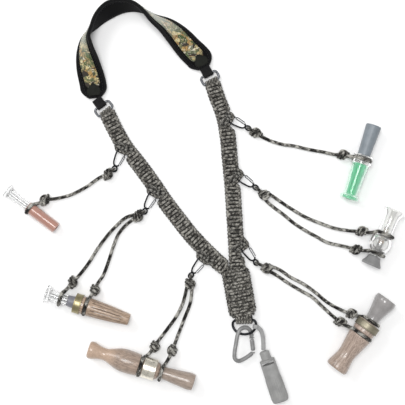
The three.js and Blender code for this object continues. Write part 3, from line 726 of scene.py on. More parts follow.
STRAP_LEAN = math.radians(116)  # at the bend, where the strap stands on its edge
STRAP_STEPS = 40


def strap_lean(share):
    return STRAP_LEAN * min(smoothstep(share, 0.02, 0.48), 1 - smoothstep(share, 0.42, 0.99))


def strap_line():
    flat = Line(STRAP_ROUTE)
    points = []
    for i in range(STRAP_STEPS + 1):
        lean = strap_lean(i / STRAP_STEPS)
        height = PAD_WIDTH / 2 * math.sin(lean) + PAD_THICKNESS / 2 * abs(math.cos(lean))
        point = flat.frame(flat.length * i / STRAP_STEPS)[0]
        points.append(at(point.x, point.y, max(height + 0.4, 3.4)))
    return Line(points)


STRAP = strap_line()


def on_strap(share, across, out):
    """The place of a point on the strap, from its share of the length and how far it is across and out."""
    point, _, sideways = STRAP.frame(share * STRAP.length)
    turn = -strap_lean(share)
    place = point + sideways * (across * math.cos(turn) - out * math.sin(turn))
    place.z += across * math.sin(turn) + out * math.cos(turn)
    return place


def strap_narrowing(share, width):
    to_end = min(share, 1 - share) * STRAP.length
    return math.sin(min(1, 0.3 + 2 * to_end / width) * math.pi / 2)


def neck_pad():
    """Foam ribbon with full rounded edges and tongue-shaped ends, slightly domed across."""
    stations, around = 200, 36
    verts, lay = [], []
    for i in range(stations + 1):
        share = i / stations
        narrowing = strap_narrowing(share, PAD_WIDTH)
        ends = min(1.0, (min(share, 1 - share) * STRAP.length / 2.2 + 0.12)) ** 0.5
        half, thick = PAD_WIDTH / 2 * narrowing - 0.6, PAD_THICKNESS / 2 * ends
        for k in range(around):
            angle = 2 * math.pi * k / around
            c, s = math.cos(angle), math.sin(angle)
            across = half * math.copysign(abs(c) ** 0.5, c)
            ripple = 0.05 * math.sin(share * 95 + across * 0.35) * abs(s)
            out = (thick + ripple) * math.copysign(abs(s) ** 0.42, s)
            verts.append(on_strap(share, across, out))
            lay.append((share * STRAP.length, c, s))
    return Shape().add(verts, skin(stations + 1, around), lay)


SEAM_STEPS = 150


def strap_rim(inset):
    """The line of the strap's edge, all the way round, as (share, across) points."""
    there = [(i / SEAM_STEPS, 1) for i in range(SEAM_STEPS + 1)]
    back = [(1 - i / SEAM_STEPS, -1) for i in range(SEAM_STEPS + 1)]
    half = PAD_WIDTH / 2 - inset
    return [(share, side * half * strap_narrowing(share, PAD_WIDTH)) for share, side in there + back]


pad = piece("neck_pad_foam", neck_pad(), "lanyard", PAD_FOAM, "neck_pad")
rim = [on_strap(share, across, 0) for share, across in strap_rim(1.1)]
rim = resample(rim + [rim[0]], 1.6)[:-1]
bound = tube(rim, 2.3, 10, True)
piece("neck_pad_binding", bound, "lanyard", BINDING)


STITCH_STEP = 0.55


def stitches(line, out, length=2.2, gap=1.1, radius=0.28):
    """A row of sewn stitches on the strap along (share, across) points, standing a little proud."""
    shape = Shape()
    places = resample([on_strap(share, across, out) for share, across in line], STITCH_STEP)
    count, step = round(length / STITCH_STEP), round((length + gap) / STITCH_STEP)

    def thread(share):
        return radius * (0.45 + 0.55 * math.sin(math.pi * min(1, max(0.05, share))))

    for start in range(0, len(places) - count, step):
        tube(places[start:start + count + 1], thread, 6, shape=shape)
    return shape


pad_seam = stitches(strap_rim(3.6), PAD_THICKNESS / 2 + 0.1)
pad_seam.merge(stitches(strap_rim(3.6), -PAD_THICKNESS / 2 - 0.1))
piece("neck_pad_stitching", pad_seam, "lanyard", THREAD)

PANEL_START, PANEL_END = 1 / 28, 27 / 28  # shares of the strap's length


def panel_half(share):
    to_end = min(share - PANEL_START, PANEL_END - share) * STRAP.length
    return PANEL_WIDTH / 2 * math.sin(min(1, 0.3 + 2 * max(0, to_end) / PANEL_WIDTH) * math.pi / 2)


def camo_panel():
    """Cloth sewn on the strap's outer face, lightly puffed between its seams."""
    stations = 150

    def point(i, u, layer):
        share = PANEL_START + (PANEL_END - PANEL_START) * i / stations
        across = u * panel_half(share)
        puff = 0.45 * (1 - u ** 4) + 0.08 * math.sin(share * 170 + u * 3)
        rise = PAD_THICKNESS / 2 + (0.15 if layer else 0.5 + puff * min(1, (1.02 - abs(u)) * 6))
        return on_strap(share, across, rise), (share * STRAP.length, across, 0)

    return thin_sheet(stations, 12, point)


panel = piece("camo_panel_cloth", camo_panel(), "lanyard", CAMO_CLOTH, "camo_panel")
shares = [PANEL_START + (PANEL_END - PANEL_START) * i / SEAM_STEPS for i in range(SEAM_STEPS + 1)]
panel_seam = Shape()
for side in (1, -1):
    row = [(share, side * (panel_half(share) - 1.0)) for share in shares]
    panel_seam.merge(stitches(row, PAD_THICKNESS / 2 + 0.85, 1.8, 0.9, 0.22))
panel_thread = piece("camo_panel_stitching", panel_seam, "lanyard", THREAD)


def end_patch(side):
    """The glossy stiff patch that covers the panel's end: wide at the strap's tip and pointed inwards."""
    stations = 26

    def point(i, u, layer):
        reach = 0.8 + 14.5 * i / stations
        share = reach / STRAP.length if side == "left" else 1 - reach / STRAP.length
        taper = 1 - max(0.0, (reach - 7.0) / 9.2) ** 1.4
        across = u * (min(8.2, 5.6 + reach * 0.6) * max(0.16, taper))
        dome = 0.5 * (1 - u * u) + (0.7 if i < stations - 1 else 0.2)
        rise = PAD_THICKNESS / 2 + (0.4 if layer else 1.35 + dome)
        return on_strap(share, across, rise), (reach, across, 0)

    return thin_sheet(stations, 10, point, sides_in=True)


RIBBON_SECTION = [
    (-0.5, 0), (-0.49, 0.3), (-0.46, 0.46), (-0.4, 0.5), (-0.2, 0.5), (0, 0.5), (0.2, 0.5), (0.4, 0.5),
    (0.46, 0.46), (0.49, 0.3), (0.5, 0), (0.49, -0.3), (0.46, -0.46), (0.4, -0.5), (0.2, -0.5), (0, -0.5),
    (-0.2, -0.5), (-0.4, -0.5), (-0.46, -0.46), (-0.49, -0.3),
]


def ribbon(points, normals, width, thickness):
    """A flat tape with soft edges along the points. Each normal is the way its face looks."""
    n = len(points)
    verts, lay, along = [], [], 0.0
    for i, point in enumerate(points):
        if i:
            along += (point - points[i - 1]).length
        tangent = (points[min(n - 1, i + 1)] - points[max(0, i - 1)]).normalized()
        side = normals[i].cross(tangent).normalized()
        for across, out in RIBBON_SECTION:
            verts.append(point + side * (across * width) + normals[i] * (out * thickness))
            lay.append((along, across * width, out))
    return Shape().add(verts, skin(n, len(RIBBON_SECTION), turned=True), lay)


BAR_IN_LINK = (LINK_DEPTH - LINK_WIRE) / 2  # from the link ring's middle to the middle of its long bars


def link_outline():
    half_length = (LINK_LENGTH - LINK_WIRE) / 2
    corner, points = 3.2, []
    for sx, sy, start in ((1, 1, 0), (-1, 1, 90), (-1, -1, 180), (1, -1, 270)):
        for k in range(7):
            angle = math.radians(start + 15 * k)
            centre = at(sx * (BAR_IN_LINK - corner), sy * (half_length - corner))
            points.append(centre + at(corner * math.cos(angle), corner * math.sin(angle)))
    return points


def folded_tab():
    """Tape folded round the ring's bar, with both ends against the strap's end."""
    points, normals = [], []
    ends = (9.5, 11, 13, 14.8)

    def leg(x, side):
        points.append(at(x, 0, side * (0.95 + 0.35 * smoothstep(12 - x, 0, 3))))
        normals.append(at(0, 0, side))

    for x in ends[::-1]:
        leg(x, 1)
    for k in range(15):
        angle = math.radians(60 + 240 * k / 14)
        direction = at(math.cos(angle), 0, math.sin(angle))
        points.append(at(BAR_IN_LINK, 0, 0) + direction * 2.55)
        normals.append(direction)
    for x in ends:
        leg(x, -1)
    return ribbon(points, normals, 12.4, 1.5)


for side_name, (centre, heading) in LINKS.items():
    move = placing(centre, heading)
    outline = link_outline()
    ring_line = resample(outline + [outline[0]], 0.9)[:-1]
    ring = tube(ring_line, LINK_WIRE / 2, 14, True)
    piece(f"ring_{side_name}", ring.move(move), "lanyard", LINK_STEEL, f"link_ring_{side_name}")
    tab = folded_tab().move(move)
    piece(f"webbing_tab_{side_name}", tab, "lanyard", WEBBING, f"strap_tab_{side_name}", sharp=60)
    piece(f"end_patch_{side_name}", end_patch(side_name), "lanyard", GLOSSY_PATCH)

# ---------------------------------------------------------------- woven arms and thick braid
LEFT_ARM = Line([
    (-115, 108), (-107, 91), (-94, 68), (-76, 45), (-60, 23), (-45, 1), (-29, -20), (-14, -39), (2, -56),
    (20, -73), (31, -81),
])
RIGHT_ARM = Line([
    (12, 144), (17, 128), (25, 107), (30, 82), (33, 51), (36, 20), (38, -11), (40, -42), (42, -79.5),
])
KING = Line([(39, -80), (44, -108), (49, -136)])
ARM_WIDTH, ARM_THICKNESS, ARM_PITCH = 20.0, 8.0, 4.35
KING_WIDTH, KING_THICKNESS, KING_PITCH = 34.5, 14.0, 3.8
CORE_CORD = 3.6
NOTCH_HALF, NOTCH_DEPTH, NOTCH_SPARE = 6.7, 5.8, 1.9
HOOK_REACH = 25.0  # from a cord bar outwards, where the hook needs its room


def in_notch(point):
    """Whether a point of the weave lies where a hook needs room."""
    for edge, heading in HOOKS:
        local = turn_z(-heading) @ (point - at(edge.x, edge.y))
        if -NOTCH_DEPTH - NOTCH_SPARE < local.x < HOOK_REACH and abs(local.y) < NOTCH_HALF + NOTCH_SPARE:
            return True
    return False


def near_line(point, line, reach):
    return any((point - p).length < reach for p in line.points[::4])


def side_reach(line, width, blocked):
    """A function that gives how far the weave may reach to a side, 1 or -1, at a distance along the line."""
    if not blocked:
        return lambda side, distance: width
    limits = {}
    for side in (1, -1):
        raw = []
        for i in range(int(line.length) + 1):
            point, _, across = line.frame(i)
            reach = width
            while reach > -2.0 and blocked(point + across * side * reach):
                reach -= 0.5
            raw.append(reach)
        low = [min(raw[max(0, i - 1):i + 2]) for i in range(len(raw))]
        near = [low[max(0, i - 2):i + 3] for i in range(len(low))]
        limits[side] = [sum(values) / len(values) for values in near]
    return lambda side, distance: limits[side][min(len(limits[side]) - 1, max(0, int(distance)))]


def weave(line, width, thickness, pitch, start, end, blocked=None, offset=0.0, soft_ends=0.0):
    """Two working cords tied in alternate half knots round a flat core: one crosses on top, one beneath.
    soft_ends is how much narrower the weave is at its very ends."""
    shape = Shape()
    reach, rise, middle = width / 2 - CORD / 2, thickness / 2 - CORD / 2, thickness / 2
    limit_at = side_reach(line, reach, blocked)
    crossings = round((end - start) / pitch)
    pitch = (end - start) / crossings
    samples = 14
    for strand, hand in ((0, 1), (1, -1)):
        points = []
        for i in range(crossings * samples + 1):
            t = i / samples
            distance = start + pitch * (t + 0.86 * math.sin(2 * math.pi * t) / (2 * math.pi))
            swing = math.cos(math.pi * t) * hand
            swing = math.copysign(abs(swing) ** 0.8, swing)
            wobble = 1 + 0.035 * math.sin(i * 0.9 + strand * 2.1 + offset) - 0.02 * math.cos(i * 0.37)
            limit = limit_at(1 if swing >= 0 else -1, distance)
            dive = abs(swing) ** 5
            lift = rise * (1 - 1.4 * dive) if strand == 0 else -rise * (1 - 1.46 * dive)
            if soft_ends:
                to_end = min(1.0, max(0.0, min(distance - start, end - distance) / 7))
                limit *= 1 - soft_ends * (1 - to_end) ** 2
            point, _, across = line.frame(distance)
            points.append(point + across * (swing * limit * min(1.0, wobble)) + at(0, 0, middle + lift))
        tube(points, CORD / 2, 8, offset=offset + strand * 91, reference=UP, shape=shape)
    return shape


def core(line, width, thickness, middle, start, end, blocked=None):
    """The still cords in the middle of the weave."""
    shape = Shape()
    cords = max(2, int(width / CORE_CORD))
    limit_at = side_reach(line, width / 2, blocked)
    for c in range(cords):
        share = (c + 0.5) / cords * 2 - 1
        points = []
        distance = start
        while distance <= end:
            point, _, across = line.frame(distance)
            limit = limit_at(1 if share >= 0 else -1, distance)
            points.append(point + across * (share * limit) + at(0, 0, middle))
            distance += 3
        tube(points, CORE_CORD / 2, 8, offset=c * 13, thick=thickness / CORE_CORD, reference=UP, shape=shape)
    return shape


def cord_ring(radius, half_width, half_thickness, axis="y", sides=30, section=10):
    """A turn of flattened cord round a bar that lies along the axis."""
    verts, lay = [], []
    for i in range(sides):
        angle = 2 * math.pi * i / sides
        for k in range(section):
            turn = 2 * math.pi * k / section
            r = radius + half_thickness * math.cos(turn)
            w = half_width * math.sin(turn)
            y, z = r * math.cos(angle), r * math.sin(angle)
            verts.append(at(w, y, z) if axis == "x" else at(y, w, z))
            lay.append((angle * radius, math.cos(turn), math.sin(turn)))
    faces = skin(sides, section, True, True)
    return Shape().add(verts, faces if axis == "x" else [face[::-1] for face in faces], lay)


def swing_of_edge(edge, heading, line):
    """The angle from a hook's cord bar to the arm's edge, in degrees."""
    nearest = min(range(len(line.points)), key=lambda i: (line.points[i] - at(edge.x, edge.y)).length)
    _, tangent, _ = line.frame(nearest * line.length / (len(line.points) - 1))
    return (math.degrees(math.atan2(tangent.y, tangent.x)) - heading + 180) % 180 - 90


def bar_loop(edge, heading, swing):
    """The loop of cord at the weave's edge that a hook holds. The leg on the arm's outer side is tucked in."""
    wide = NOTCH_HALF + CORD / 2
    raised, low = (wide - 0.8, wide) if swing < 0 else (wide, 5.9)
    points = [
        (-11, -raised, -1.6), (-7, -raised, -0.5), (-3, -raised, 0), (-0.4, -raised + 1.6, 0), (0, -3, 0),
        (0, 3, 0), (-0.8, low - 1.2, 0.3), (-3.4, low, 0.6), (-7, low, -0.5), (-11, low, -1.6),
    ]
    return wire(points, CORD / 2, 10).move(placing(edge, heading))


def cover_cords(edge, heading, swing):
    """The cords of the weave that pass over a hook: high over its raised leg, inside the arm's edge."""
    shape = Shape()
    if swing < 0:
        over = [
            (-9.4, -0.6), (-8.3, 3.6), (-5.6, 7.0), (-2, 6.3), (2.5, 4.2), (6, 3.0), (9.5, 1.2), (12.5, -1.4),
        ]
    else:
        over = [(-12.5, -1.4), (-9, 3.6), (-5.8, 7.2), (-2, 6.3), (1.8, 3.8), (4.2, 1.4), (6.2, -1.0)]
    for x, inwards in ((-4.2, 0.0), (-7.9, 1.0)):
        points = [(x, y + math.copysign(inwards, -swing) * (abs(y) > 6), z) for y, z in over]
        shape.merge(wire(points, CORD / 2, 10, offset=x * 7))
    return shape.move(placing(edge, heading))


def arm(name, line, link, hooks, blocked, node, offset):
    centre, heading = link
    shape = weave(line, ARM_WIDTH, ARM_THICKNESS, ARM_PITCH, 0.5, line.length + 1.5, blocked, offset)
    for i in range(4):
        on_link = placing(centre, heading) @ shift(-BAR_IN_LINK, 3.95 * (i - 1.5))
        shape.merge(cord_ring(2.85, 1.95, 1.12).move(on_link))
    for edge, hook_heading in hooks:
        swing = swing_of_edge(edge, hook_heading, line)
        shape.merge(bar_loop(edge, hook_heading, swing)).merge(cover_cords(edge, hook_heading, swing), 2)
    shape.merge(core(line, 11, 3.4, ARM_THICKNESS / 2, 0, line.length, blocked), 1)
    return piece(name, shape, "lanyard", [WOVEN_CORD, SHADED_CORE_CORD, COVER_CORD], node)


arm("woven_arm_right", RIGHT_ARM, LINKS["right"], HOOKS[3:], in_notch, "right_braid", 40.0)
arm(
    "woven_arm_left", LEFT_ARM, LINKS["left"], HOOKS[:3],
    lambda p: in_notch(p) or near_line(p, RIGHT_ARM, 11.6), "left_braid", 0.0,
)

D_BAR, D_WIRE = at(50, -141, 7.3), 3.0
ON_D = hanging(D_BAR, 3, 13)
D_LOOPS, D_LOOP_STEP = 6, 3.3
king = weave(KING, KING_WIDTH, KING_THICKNESS, KING_PITCH, -0.5, KING.length - 0.5, offset=7.0, soft_ends=0.24)
king.merge(core(KING, 27, 8, KING_THICKNESS / 2, 1, KING.length - 1), 1)
for i in range(D_LOOPS):
    x = D_LOOP_STEP * (i - 2.5)
    king.merge(cord_ring(3.6, 1.7, 1.4, "x").move(ON_D @ shift(x, 0)))
    for top in (1, -1):
        begin = ON_D @ at(x, 0.6, 3.5 * top)
        finish = at(49, -141, 7) + turn_z(98) @ at(11, -3.5 * (i - 2.5), 0) + at(0, 0, 2.4 * top)
        middle = begin.lerp(finish, 0.5) + at(0, 0, 0.5 * top)
        king.merge(wire([begin, middle, finish], PULLED_CORD, 8, offset=i * 9.0))
piece("king_weave", king, "lanyard", [WOVEN_CORD, SHADED_CORE_CORD], "king_braid")

# ---------------------------------------------------------------- D ring, carabiner and whistle
D_OUTLINE = [
    (-9.6, 0), (-5, 0), (5, 0), (9.6, 0), (13, -1.6), (14.3, -5.4), (12.6, -11), (7.8, -15.4), (0, -17.2),
    (-7.8, -15.4), (-12.6, -11), (-14.3, -5.4), (-13, -1.6),
]
d_ring = wire(D_OUTLINE, D_WIRE / 2, 14, True, step=0.9)
piece("d_ring_wire", d_ring.move(ON_D), "d_ring_and_strap", GUNMETAL, "d_ring")

ON_CLIP = hanging(at(50.5, -170.5, 7.1), 0, -20)
CLIP_BODY = [
    (9.2, 8), (8.4, 14), (5, 19), (0, 20.4), (-5.4, 18.6), (-9, 12), (-11, 2), (-13, -10), (-12.4, -16.5),
    (-8, -19.4), (-1, -17.4), (7, -13), (10.6, -10.2),
]
clip = wire(CLIP_BODY, 2.3, 16, step=0.9, wide=1.04)
for x, y in (CLIP_BODY[0], CLIP_BODY[-1]):
    clip.merge(wire([(x + dx, y - 0.4) for dx in (-2.9, 0, 2.9)], 0.8, 10, step=0.4))
piece("carabiner_frame", clip.move(ON_CLIP), "carabiner", GREY_ALLOY, "carabiner_body")
gate = wire([(11.1, -8.0), (10.2, 0), (9.3, 6.1)], 2.1, 14, step=0.7, wide=1.25)
for share in (0.16, 0.84):
    x, y = at(11, -7).lerp(at(9.5, 4.9), share).xy
    gate.merge(cord_ring(2.3, 0.45, 0.3).move(shift(x + 0.1, y) @ turn_z(4)))
piece("carabiner_gate_bar", gate.move(ON_CLIP), "carabiner_gate", GREY_ALLOY, "carabiner_gate")

WHISTLE_TOP = at(73.6, -178.2, 7.6)
strap_points = spline([at(*p) for p in (
    (66.2, -149.4, 10.6), (69.6, -152.6, 10.2), (72, -159, 9.2), (73, -168, 8), (73.2, -177.2, 7.2),
)], 8)
strap_points = resample(strap_points, 1.0)
strap = ribbon(strap_points, [at(0.05, 0.15, 1).normalized()] * len(strap_points), 5.0, 2.2)
fold = cord_ring(2.75, 2.5, 0.85, "y", 32, 12)
strap.merge(fold.move(ON_D @ shift(13.6, -8.2) @ turn_z(-17)))
piece("whistle_loop", strap, "d_ring_and_strap", STRAP_RUBBER, "whistle_strap", sharp=50)

WHISTLE_PROFILE = [
    (0, 0.35), (0, 4.5), (1.5, 6), (10, 6), (11, 9.2), (62, 10), (64, 9), (64, 6), (30, 6), (30, 0.35),
]


def whistle_ribs(x, angle, r):
    """Fine ribs along the body below the window."""
    if r < 8.4:
        return 0.0
    along = smoothstep(x, 33, 36) * (1 - smoothstep(x, 58.5, 61))
    return 0.45 * (0.5 + 0.5 * math.cos(26 * angle)) ** 2 * along


whistle_body = lathe(finer(rounded(WHISTLE_PROFILE, 0.6), 2.2), 120, whistle_ribs)
flat = Matrix.Diagonal((1, 1, 0.75, 1))
piece(
    "whistle_body", whistle_body, "whistle", WHISTLE_PLASTIC, "whistle",
    Matrix.Translation(WHISTLE_TOP * MM) @ turn_z(-71) @ flat, 40,
    [block((13.4, -7.2, -12), (16.8, 7.2, 12)), block((15, -4, -3), (40, 4, 3))],
)

# ---------------------------------------------------------------- snap hooks
HOOK_OUTLINE = [
    (6.9, 6), (3.2, 5.4), (0.8, 3.2), (0, 0), (0.8, -3.2), (3.2, -5.4), (7, -6), (13, -5.6), (18.6, -4.6),
    (21.8, -2.2), (22, 1.4), (20, 3.9),
]
GATE_SPREAD = 1.7  # half the distance between the gate's two wires
GATE_OUTLINE = [
    (19.6, 4.2, GATE_SPREAD), (14, 5.3, GATE_SPREAD), (9, 6, GATE_SPREAD), (8, 6, 1.0), (8, 6, -1.0),
    (9, 6, -GATE_SPREAD), (14, 5.3, -GATE_SPREAD), (19.6, 4.2, -GATE_SPREAD),
]
EYE_RADIUS = 3.4
EYE_FROM_BAR = 26.0 - BAR_IN_HOOK
HOOK_WIRE_RADIUS, GATE_WIRE_RADIUS = 1.0, 0.5


def circle(radius, centre, count=28):
    angles = [2 * math.pi * k / count for k in range(count)]
    return [centre + at(radius * math.cos(angle), radius * math.sin(angle)) for angle in angles]


for number, (edge, heading) in enumerate(HOOKS, 1):
    local = placing(edge, heading, -HOOK_TILT)
    body = wire([(x - BAR_IN_HOOK, y) for x, y in HOOK_OUTLINE], HOOK_WIRE_RADIUS, step=0.6)
    tube(circle(EYE_RADIUS, at(EYE_FROM_BAR, 0)), HOOK_WIRE_RADIUS, 12, True, shape=body)
    body.merge(cord_ring(1.15, 0.9, 0.35, "x", 20, 8).move(shift(21.9 - BAR_IN_HOOK, -0.6)))
    piece(f"hook_{number}", body.move(local), f"drop_{number}", GUNMETAL, f"snap_hook_{number}")
    latch = wire([(x - BAR_IN_HOOK, y, z) for x, y, z in GATE_OUTLINE], GATE_WIRE_RADIUS, 8, step=0.5)
    piece(
        f"hook_gate_{number}", latch.move(local), f"gate_{number}", GATE_STEEL,
        f"snap_gate_{number}",
    )

# ---------------------------------------------------------------- calls
# Each call lies along its own X with the seam of barrel and insert at 0. Outlines are (x, radius) points,
# and a band is (start, end, inner radius, outer radius).
CALLS = [
    {
        "seam": (-209.1, -5), "heading": 142.7, "height": 9.2,
        "bore": 3.8, "airway": 2.2, "tenon": 17, "nose": 16,
        "barrel": [(-42.5, 6.2), (-42, 6.75), (-5.1, 6.75), (-5, 4.8), (-0.7, 4.8), (-0.6, 6.6), (0, 6.6)],
        "insert": [(0, 5.2), (24, 5.2), (28, 6.2), (30.3, 8.8), (31.3, 9)],
        "mouth": [(31.3, 8), (29.5, 6.4), (26, 3)],
        "looks": ((TINTED, "tinted_acrylic"), (CLEAR, "clear_acrylic")),
    },
    {
        "seam": (-161.2, -117.1), "heading": 162.6, "height": 12.3,
        "bore": 5, "airway": 3, "tenon": 18, "nose": 22,
        "barrel": [
            (-77, 6.4), (-76, 7), (-52, 9.6), (-25.6, 11), (-25.4, 8), (-20.8, 8), (-20.6, 10.8), (-8.4, 10.8),
            (-8.3, 7.2), (0, 6.4),
        ],
        "insert": [(0, 6), (19, 6), (22, 7), (24.4, 10.4), (27, 10.8)],
        "mouth": [(27, 9.6), (24.5, 8), (20, 3.8)],
        "band": (-17.1, -8.7, 11.2, 12.25),
        "looks": ((LIGHT_WOOD, "light_wood"), (CLEAR, "clear_acrylic")),
    },
    {
        "seam": (-52.1, -201.8), "heading": -17.7, "height": 14,
        "bore": 5.4, "airway": 3, "tenon": 18, "nose": 24,
        "barrel": [
            (-88, 9), (-86, 10.5), (-82, 10.3), (-74, 7.6), (-67, 6.8), (-59, 9.8), (-50, 13.2), (-42, 14),
            (-32, 13.6), (-25.2, 12.8), (-25, 9.6), (-20.2, 9.6), (-20, 11.6), (-3.8, 11.6), (-3.6, 11),
            (0, 9),
        ],
        "insert": [(0, 7.2), (6, 7.2), (20, 8.6), (38, 10.5), (43.5, 9.6)],
        "mouth": [(43.5, 7), (32, 4)],
        "band": (-19.5, -4, 12, 13),
        "looks": ((DARK_WOOD, "dark_wood"), (DULL_WOOD, "dull_wood")),
    },
    {
        "seam": (192.7, 56.1), "heading": 71.2, "height": 12.1,
        "bore": 5.6, "airway": 3, "tenon": 16, "nose": 24,
        "barrel": [
            (-55, 11), (-54, 11.5), (-51.5, 11.3), (-49, 7.8), (-30, 8.8), (-11, 10), (-10.8, 12), (-6.9, 12),
            (-6.7, 7.8), (-2.1, 7.8), (-1.9, 11.6), (0, 11.6),
        ],
        "insert": [(0, 7.5), (30, 8.9), (37, 9.35), (38, 8.6)],
        "mouth": [(38, 6), (28, 3.6)],
        "looks": ((GREEN, "green_acrylic"), (GREY_PLASTIC, "grey_plastic")),
    },
    {
        "seam": (205.8, -64), "heading": 246.3, "height": 13,
        "bore": 5, "airway": 3, "tenon": 16, "nose": 22,
        "barrel": [
            (-60, 12.2), (-59, 12.8), (-56, 12.2), (-50, 9), (-31, 9), (-30.8, 8.4), (-26.2, 8.4), (-25, 10.6),
            (-20, 13), (-13, 13), (-8, 10.4), (-6.2, 7.5), (-1.4, 7.5), (-1.2, 8.2), (0, 8.2),
        ],
        "insert": [(0, 7.4), (5, 8.8), (10, 12), (12, 11.6)],
        "mouth": [(12, 8.6), (6, 4.2)],
        "looks": ((SMOKY_CLEAR, "clear_acrylic"), (FROSTED, "frosted_grey")),
    },
    {
        "seam": (199.3, -143.2), "heading": 53.7, "height": 15.1,
        "bore": 6.2, "airway": 3.4, "tenon": 18, "nose": 26,
        "barrel": [
            (-68, 12), (-66, 13.4), (-61, 12.8), (-48, 10), (-32, 12.4), (-19.4, 14.4), (-19.2, 10.8),
            (-14.6, 10.8), (-14.4, 13.6), (-9.8, 13.6), (-9.7, 13.2), (-0.5, 13.2), (0, 12.6),
        ],
        "insert": [(0, 8.25), (7, 8.25), (18, 10.2), (30, 13.5), (35, 12.6)],
        "mouth": [(35, 9), (24, 4.6)],
        "band": (-9.4, -0.7, 13.5, 15),
        "looks": ((FIGURED_WOOD, "dull_wood"), (GLOSSY_GREY, "grey_plastic")),
    },
]
NOSE_FLAT = 0.2  # height of the tone board's flat above the call's axis
TIPS = {2: (-8.5, TIP_PLASTIC), 4: (-11.2, SMOKY_CLEAR)}  # where a barrel's other material starts
FLUTED_CALL = 2
BAND_LOOKS = {2: BRASS, 3: PALE_BRASS, 6: DULL_BRASS}


def flutes(x, angle, r):
    """Grooves cut along the second call's barrel."""
    if r < 6:
        return 0.0
    along = smoothstep(x, -70, -64) * (1 - smoothstep(x, -34, -28))
    return -0.55 * (0.5 + 0.5 * math.cos(14 * angle)) ** 3 * along


def reed(bore, tenon, nose):
    """A thin springy strip with a round tip, bowed a little away from the tone board."""
    half, low = (bore - GAP) * 0.78, NOSE_FLAT + GAP
    start, end = -tenon - nose + 1, -tenon - GAP
    stations = 24

    def point(i, u, layer):
        x = start + (end - start) * i / stations
        tip = min(1.0, (x - start) / half)
        width = half * max(0.12, math.sqrt(max(0.0, 1 - (1 - tip) ** 2)))
        bow = 0.5 * (1 - i / stations) ** 2
        return at(x, u * width, low + bow + (0.0 if layer else 0.4)), (0.0, 1.0, 0.0)

    return thin_sheet(stations, 6, point)


def wedge(bore, tenon):
    """The cork that holds the reed down at the end of the tone board."""
    half = (bore - GAP) * 0.7
    low, x0, x1 = NOSE_FLAT + GAP + 0.45, -tenon - 7.5, -tenon - 0.4
    rise = math.sqrt(max(1.0, (bore - GAP) ** 2 - half ** 2)) - 0.1
    verts, stations, section = [], 8, 9
    for i in range(stations + 1):
        share = i / stations
        x, top = x0 + (x1 - x0) * share, low + 0.25 + (rise - low) * (0.15 + 0.85 * share)
        for k in range(section):
            angle = math.pi * k / (section - 1)
            verts.append(at(x, half * math.cos(angle), low + (top - low) * math.sin(angle) ** 0.7))
    return Shape().add(verts, skin(stations + 1, section))


def barrel_profile(call):
    """The barrel's outline and its bore, which flares at the far end."""
    bore, far_end = call["bore"], call["barrel"][0][0]
    return call["barrel"] + [(0, bore), (far_end + 5, bore), (far_end, bore + 1)]


def insert_profile(call):
    """The insert's outline: tone board and tenon, the part in sight, the mouth, and back along the airway."""
    fit, tip = call["bore"] - GAP, -call["tenon"] - call["nose"]
    hidden = [(tip, fit - 0.8), (tip + 2, fit), (GAP, fit)]
    visible = [(GAP if i == 0 else x, r) for i, (x, r) in enumerate(call["insert"])]
    return hidden + visible + call["mouth"] + [(tip, call["airway"])]


def band_profile(low, high, inner, outer):
    """A band with a rim at each end that stands out a little."""
    face = outer - 0.35
    return [
        (low, outer - 0.1), (low + 0.9, outer), (low + 1.3, face), (high - 1.3, face), (high - 0.9, outer),
        (high, outer - 0.1), (high, inner), (low, inner),
    ]


for number, call in enumerate(CALLS, 1):
    place = Matrix.Translation(at(*call["seam"], call["height"]) * MM) @ turn_z(call["heading"])
    bore, tenon, nose = call["bore"], call["tenon"], call["nose"]
    (barrel_look, barrel_slot), (insert_look, insert_slot) = call["looks"]
    barrel_body, insert_body = f"drop_{number}", f"call_insert_{number}"
    sides, ripple = (84, flutes) if number == FLUTED_CALL else (72, None)
    barrel = lathe(finer(rounded(barrel_profile(call)), 1.8), sides, ripple)
    looks = [barrel_look]
    if number in TIPS:
        tip_start, tip_look = TIPS[number]
        looks.append(tip_look)
        for index, face in enumerate(barrel.faces):
            if min(barrel.verts[i].x for i in face) > tip_start:
                barrel.mats[index] = 1
    piece(f"call_barrel_{number}", barrel, barrel_body, looks, f"barrel_{number}", place, 34)
    insert = lathe(finer(rounded(insert_profile(call), 0.4), 2.0), 64)
    piece(
        f"call_insert_{number}", insert, insert_body, insert_look, f"insert_{number}", place, 34,
        [block((-tenon - nose - 1, -bore, NOSE_FLAT), (-tenon, bore, bore + 1))],
    )
    strip = reed(bore, tenon, nose)
    piece(f"call_reed_{number}", strip, insert_body, REED_FILM, f"reed_{number}", place)
    piece(f"cork_wedge_{number}", wedge(bore, tenon), insert_body, CORK, matrix=place)
    if "band" in call:
        band = lathe(finer(rounded(band_profile(*call["band"]), 0.25), 2.0), 80)
        look = BAND_LOOKS[number]
        piece(f"call_band_{number}", band, barrel_body, look, f"band_{number}", place, 30)

# ---------------------------------------------------------------- drops: cords, knots and nooses
LOW = CORD / 2 + 0.35  # height of a cord that lies on the ground
KNOT_HEIGHT = 5.2
SPACING = 5.0  # between the two cords of a drop at its first knot
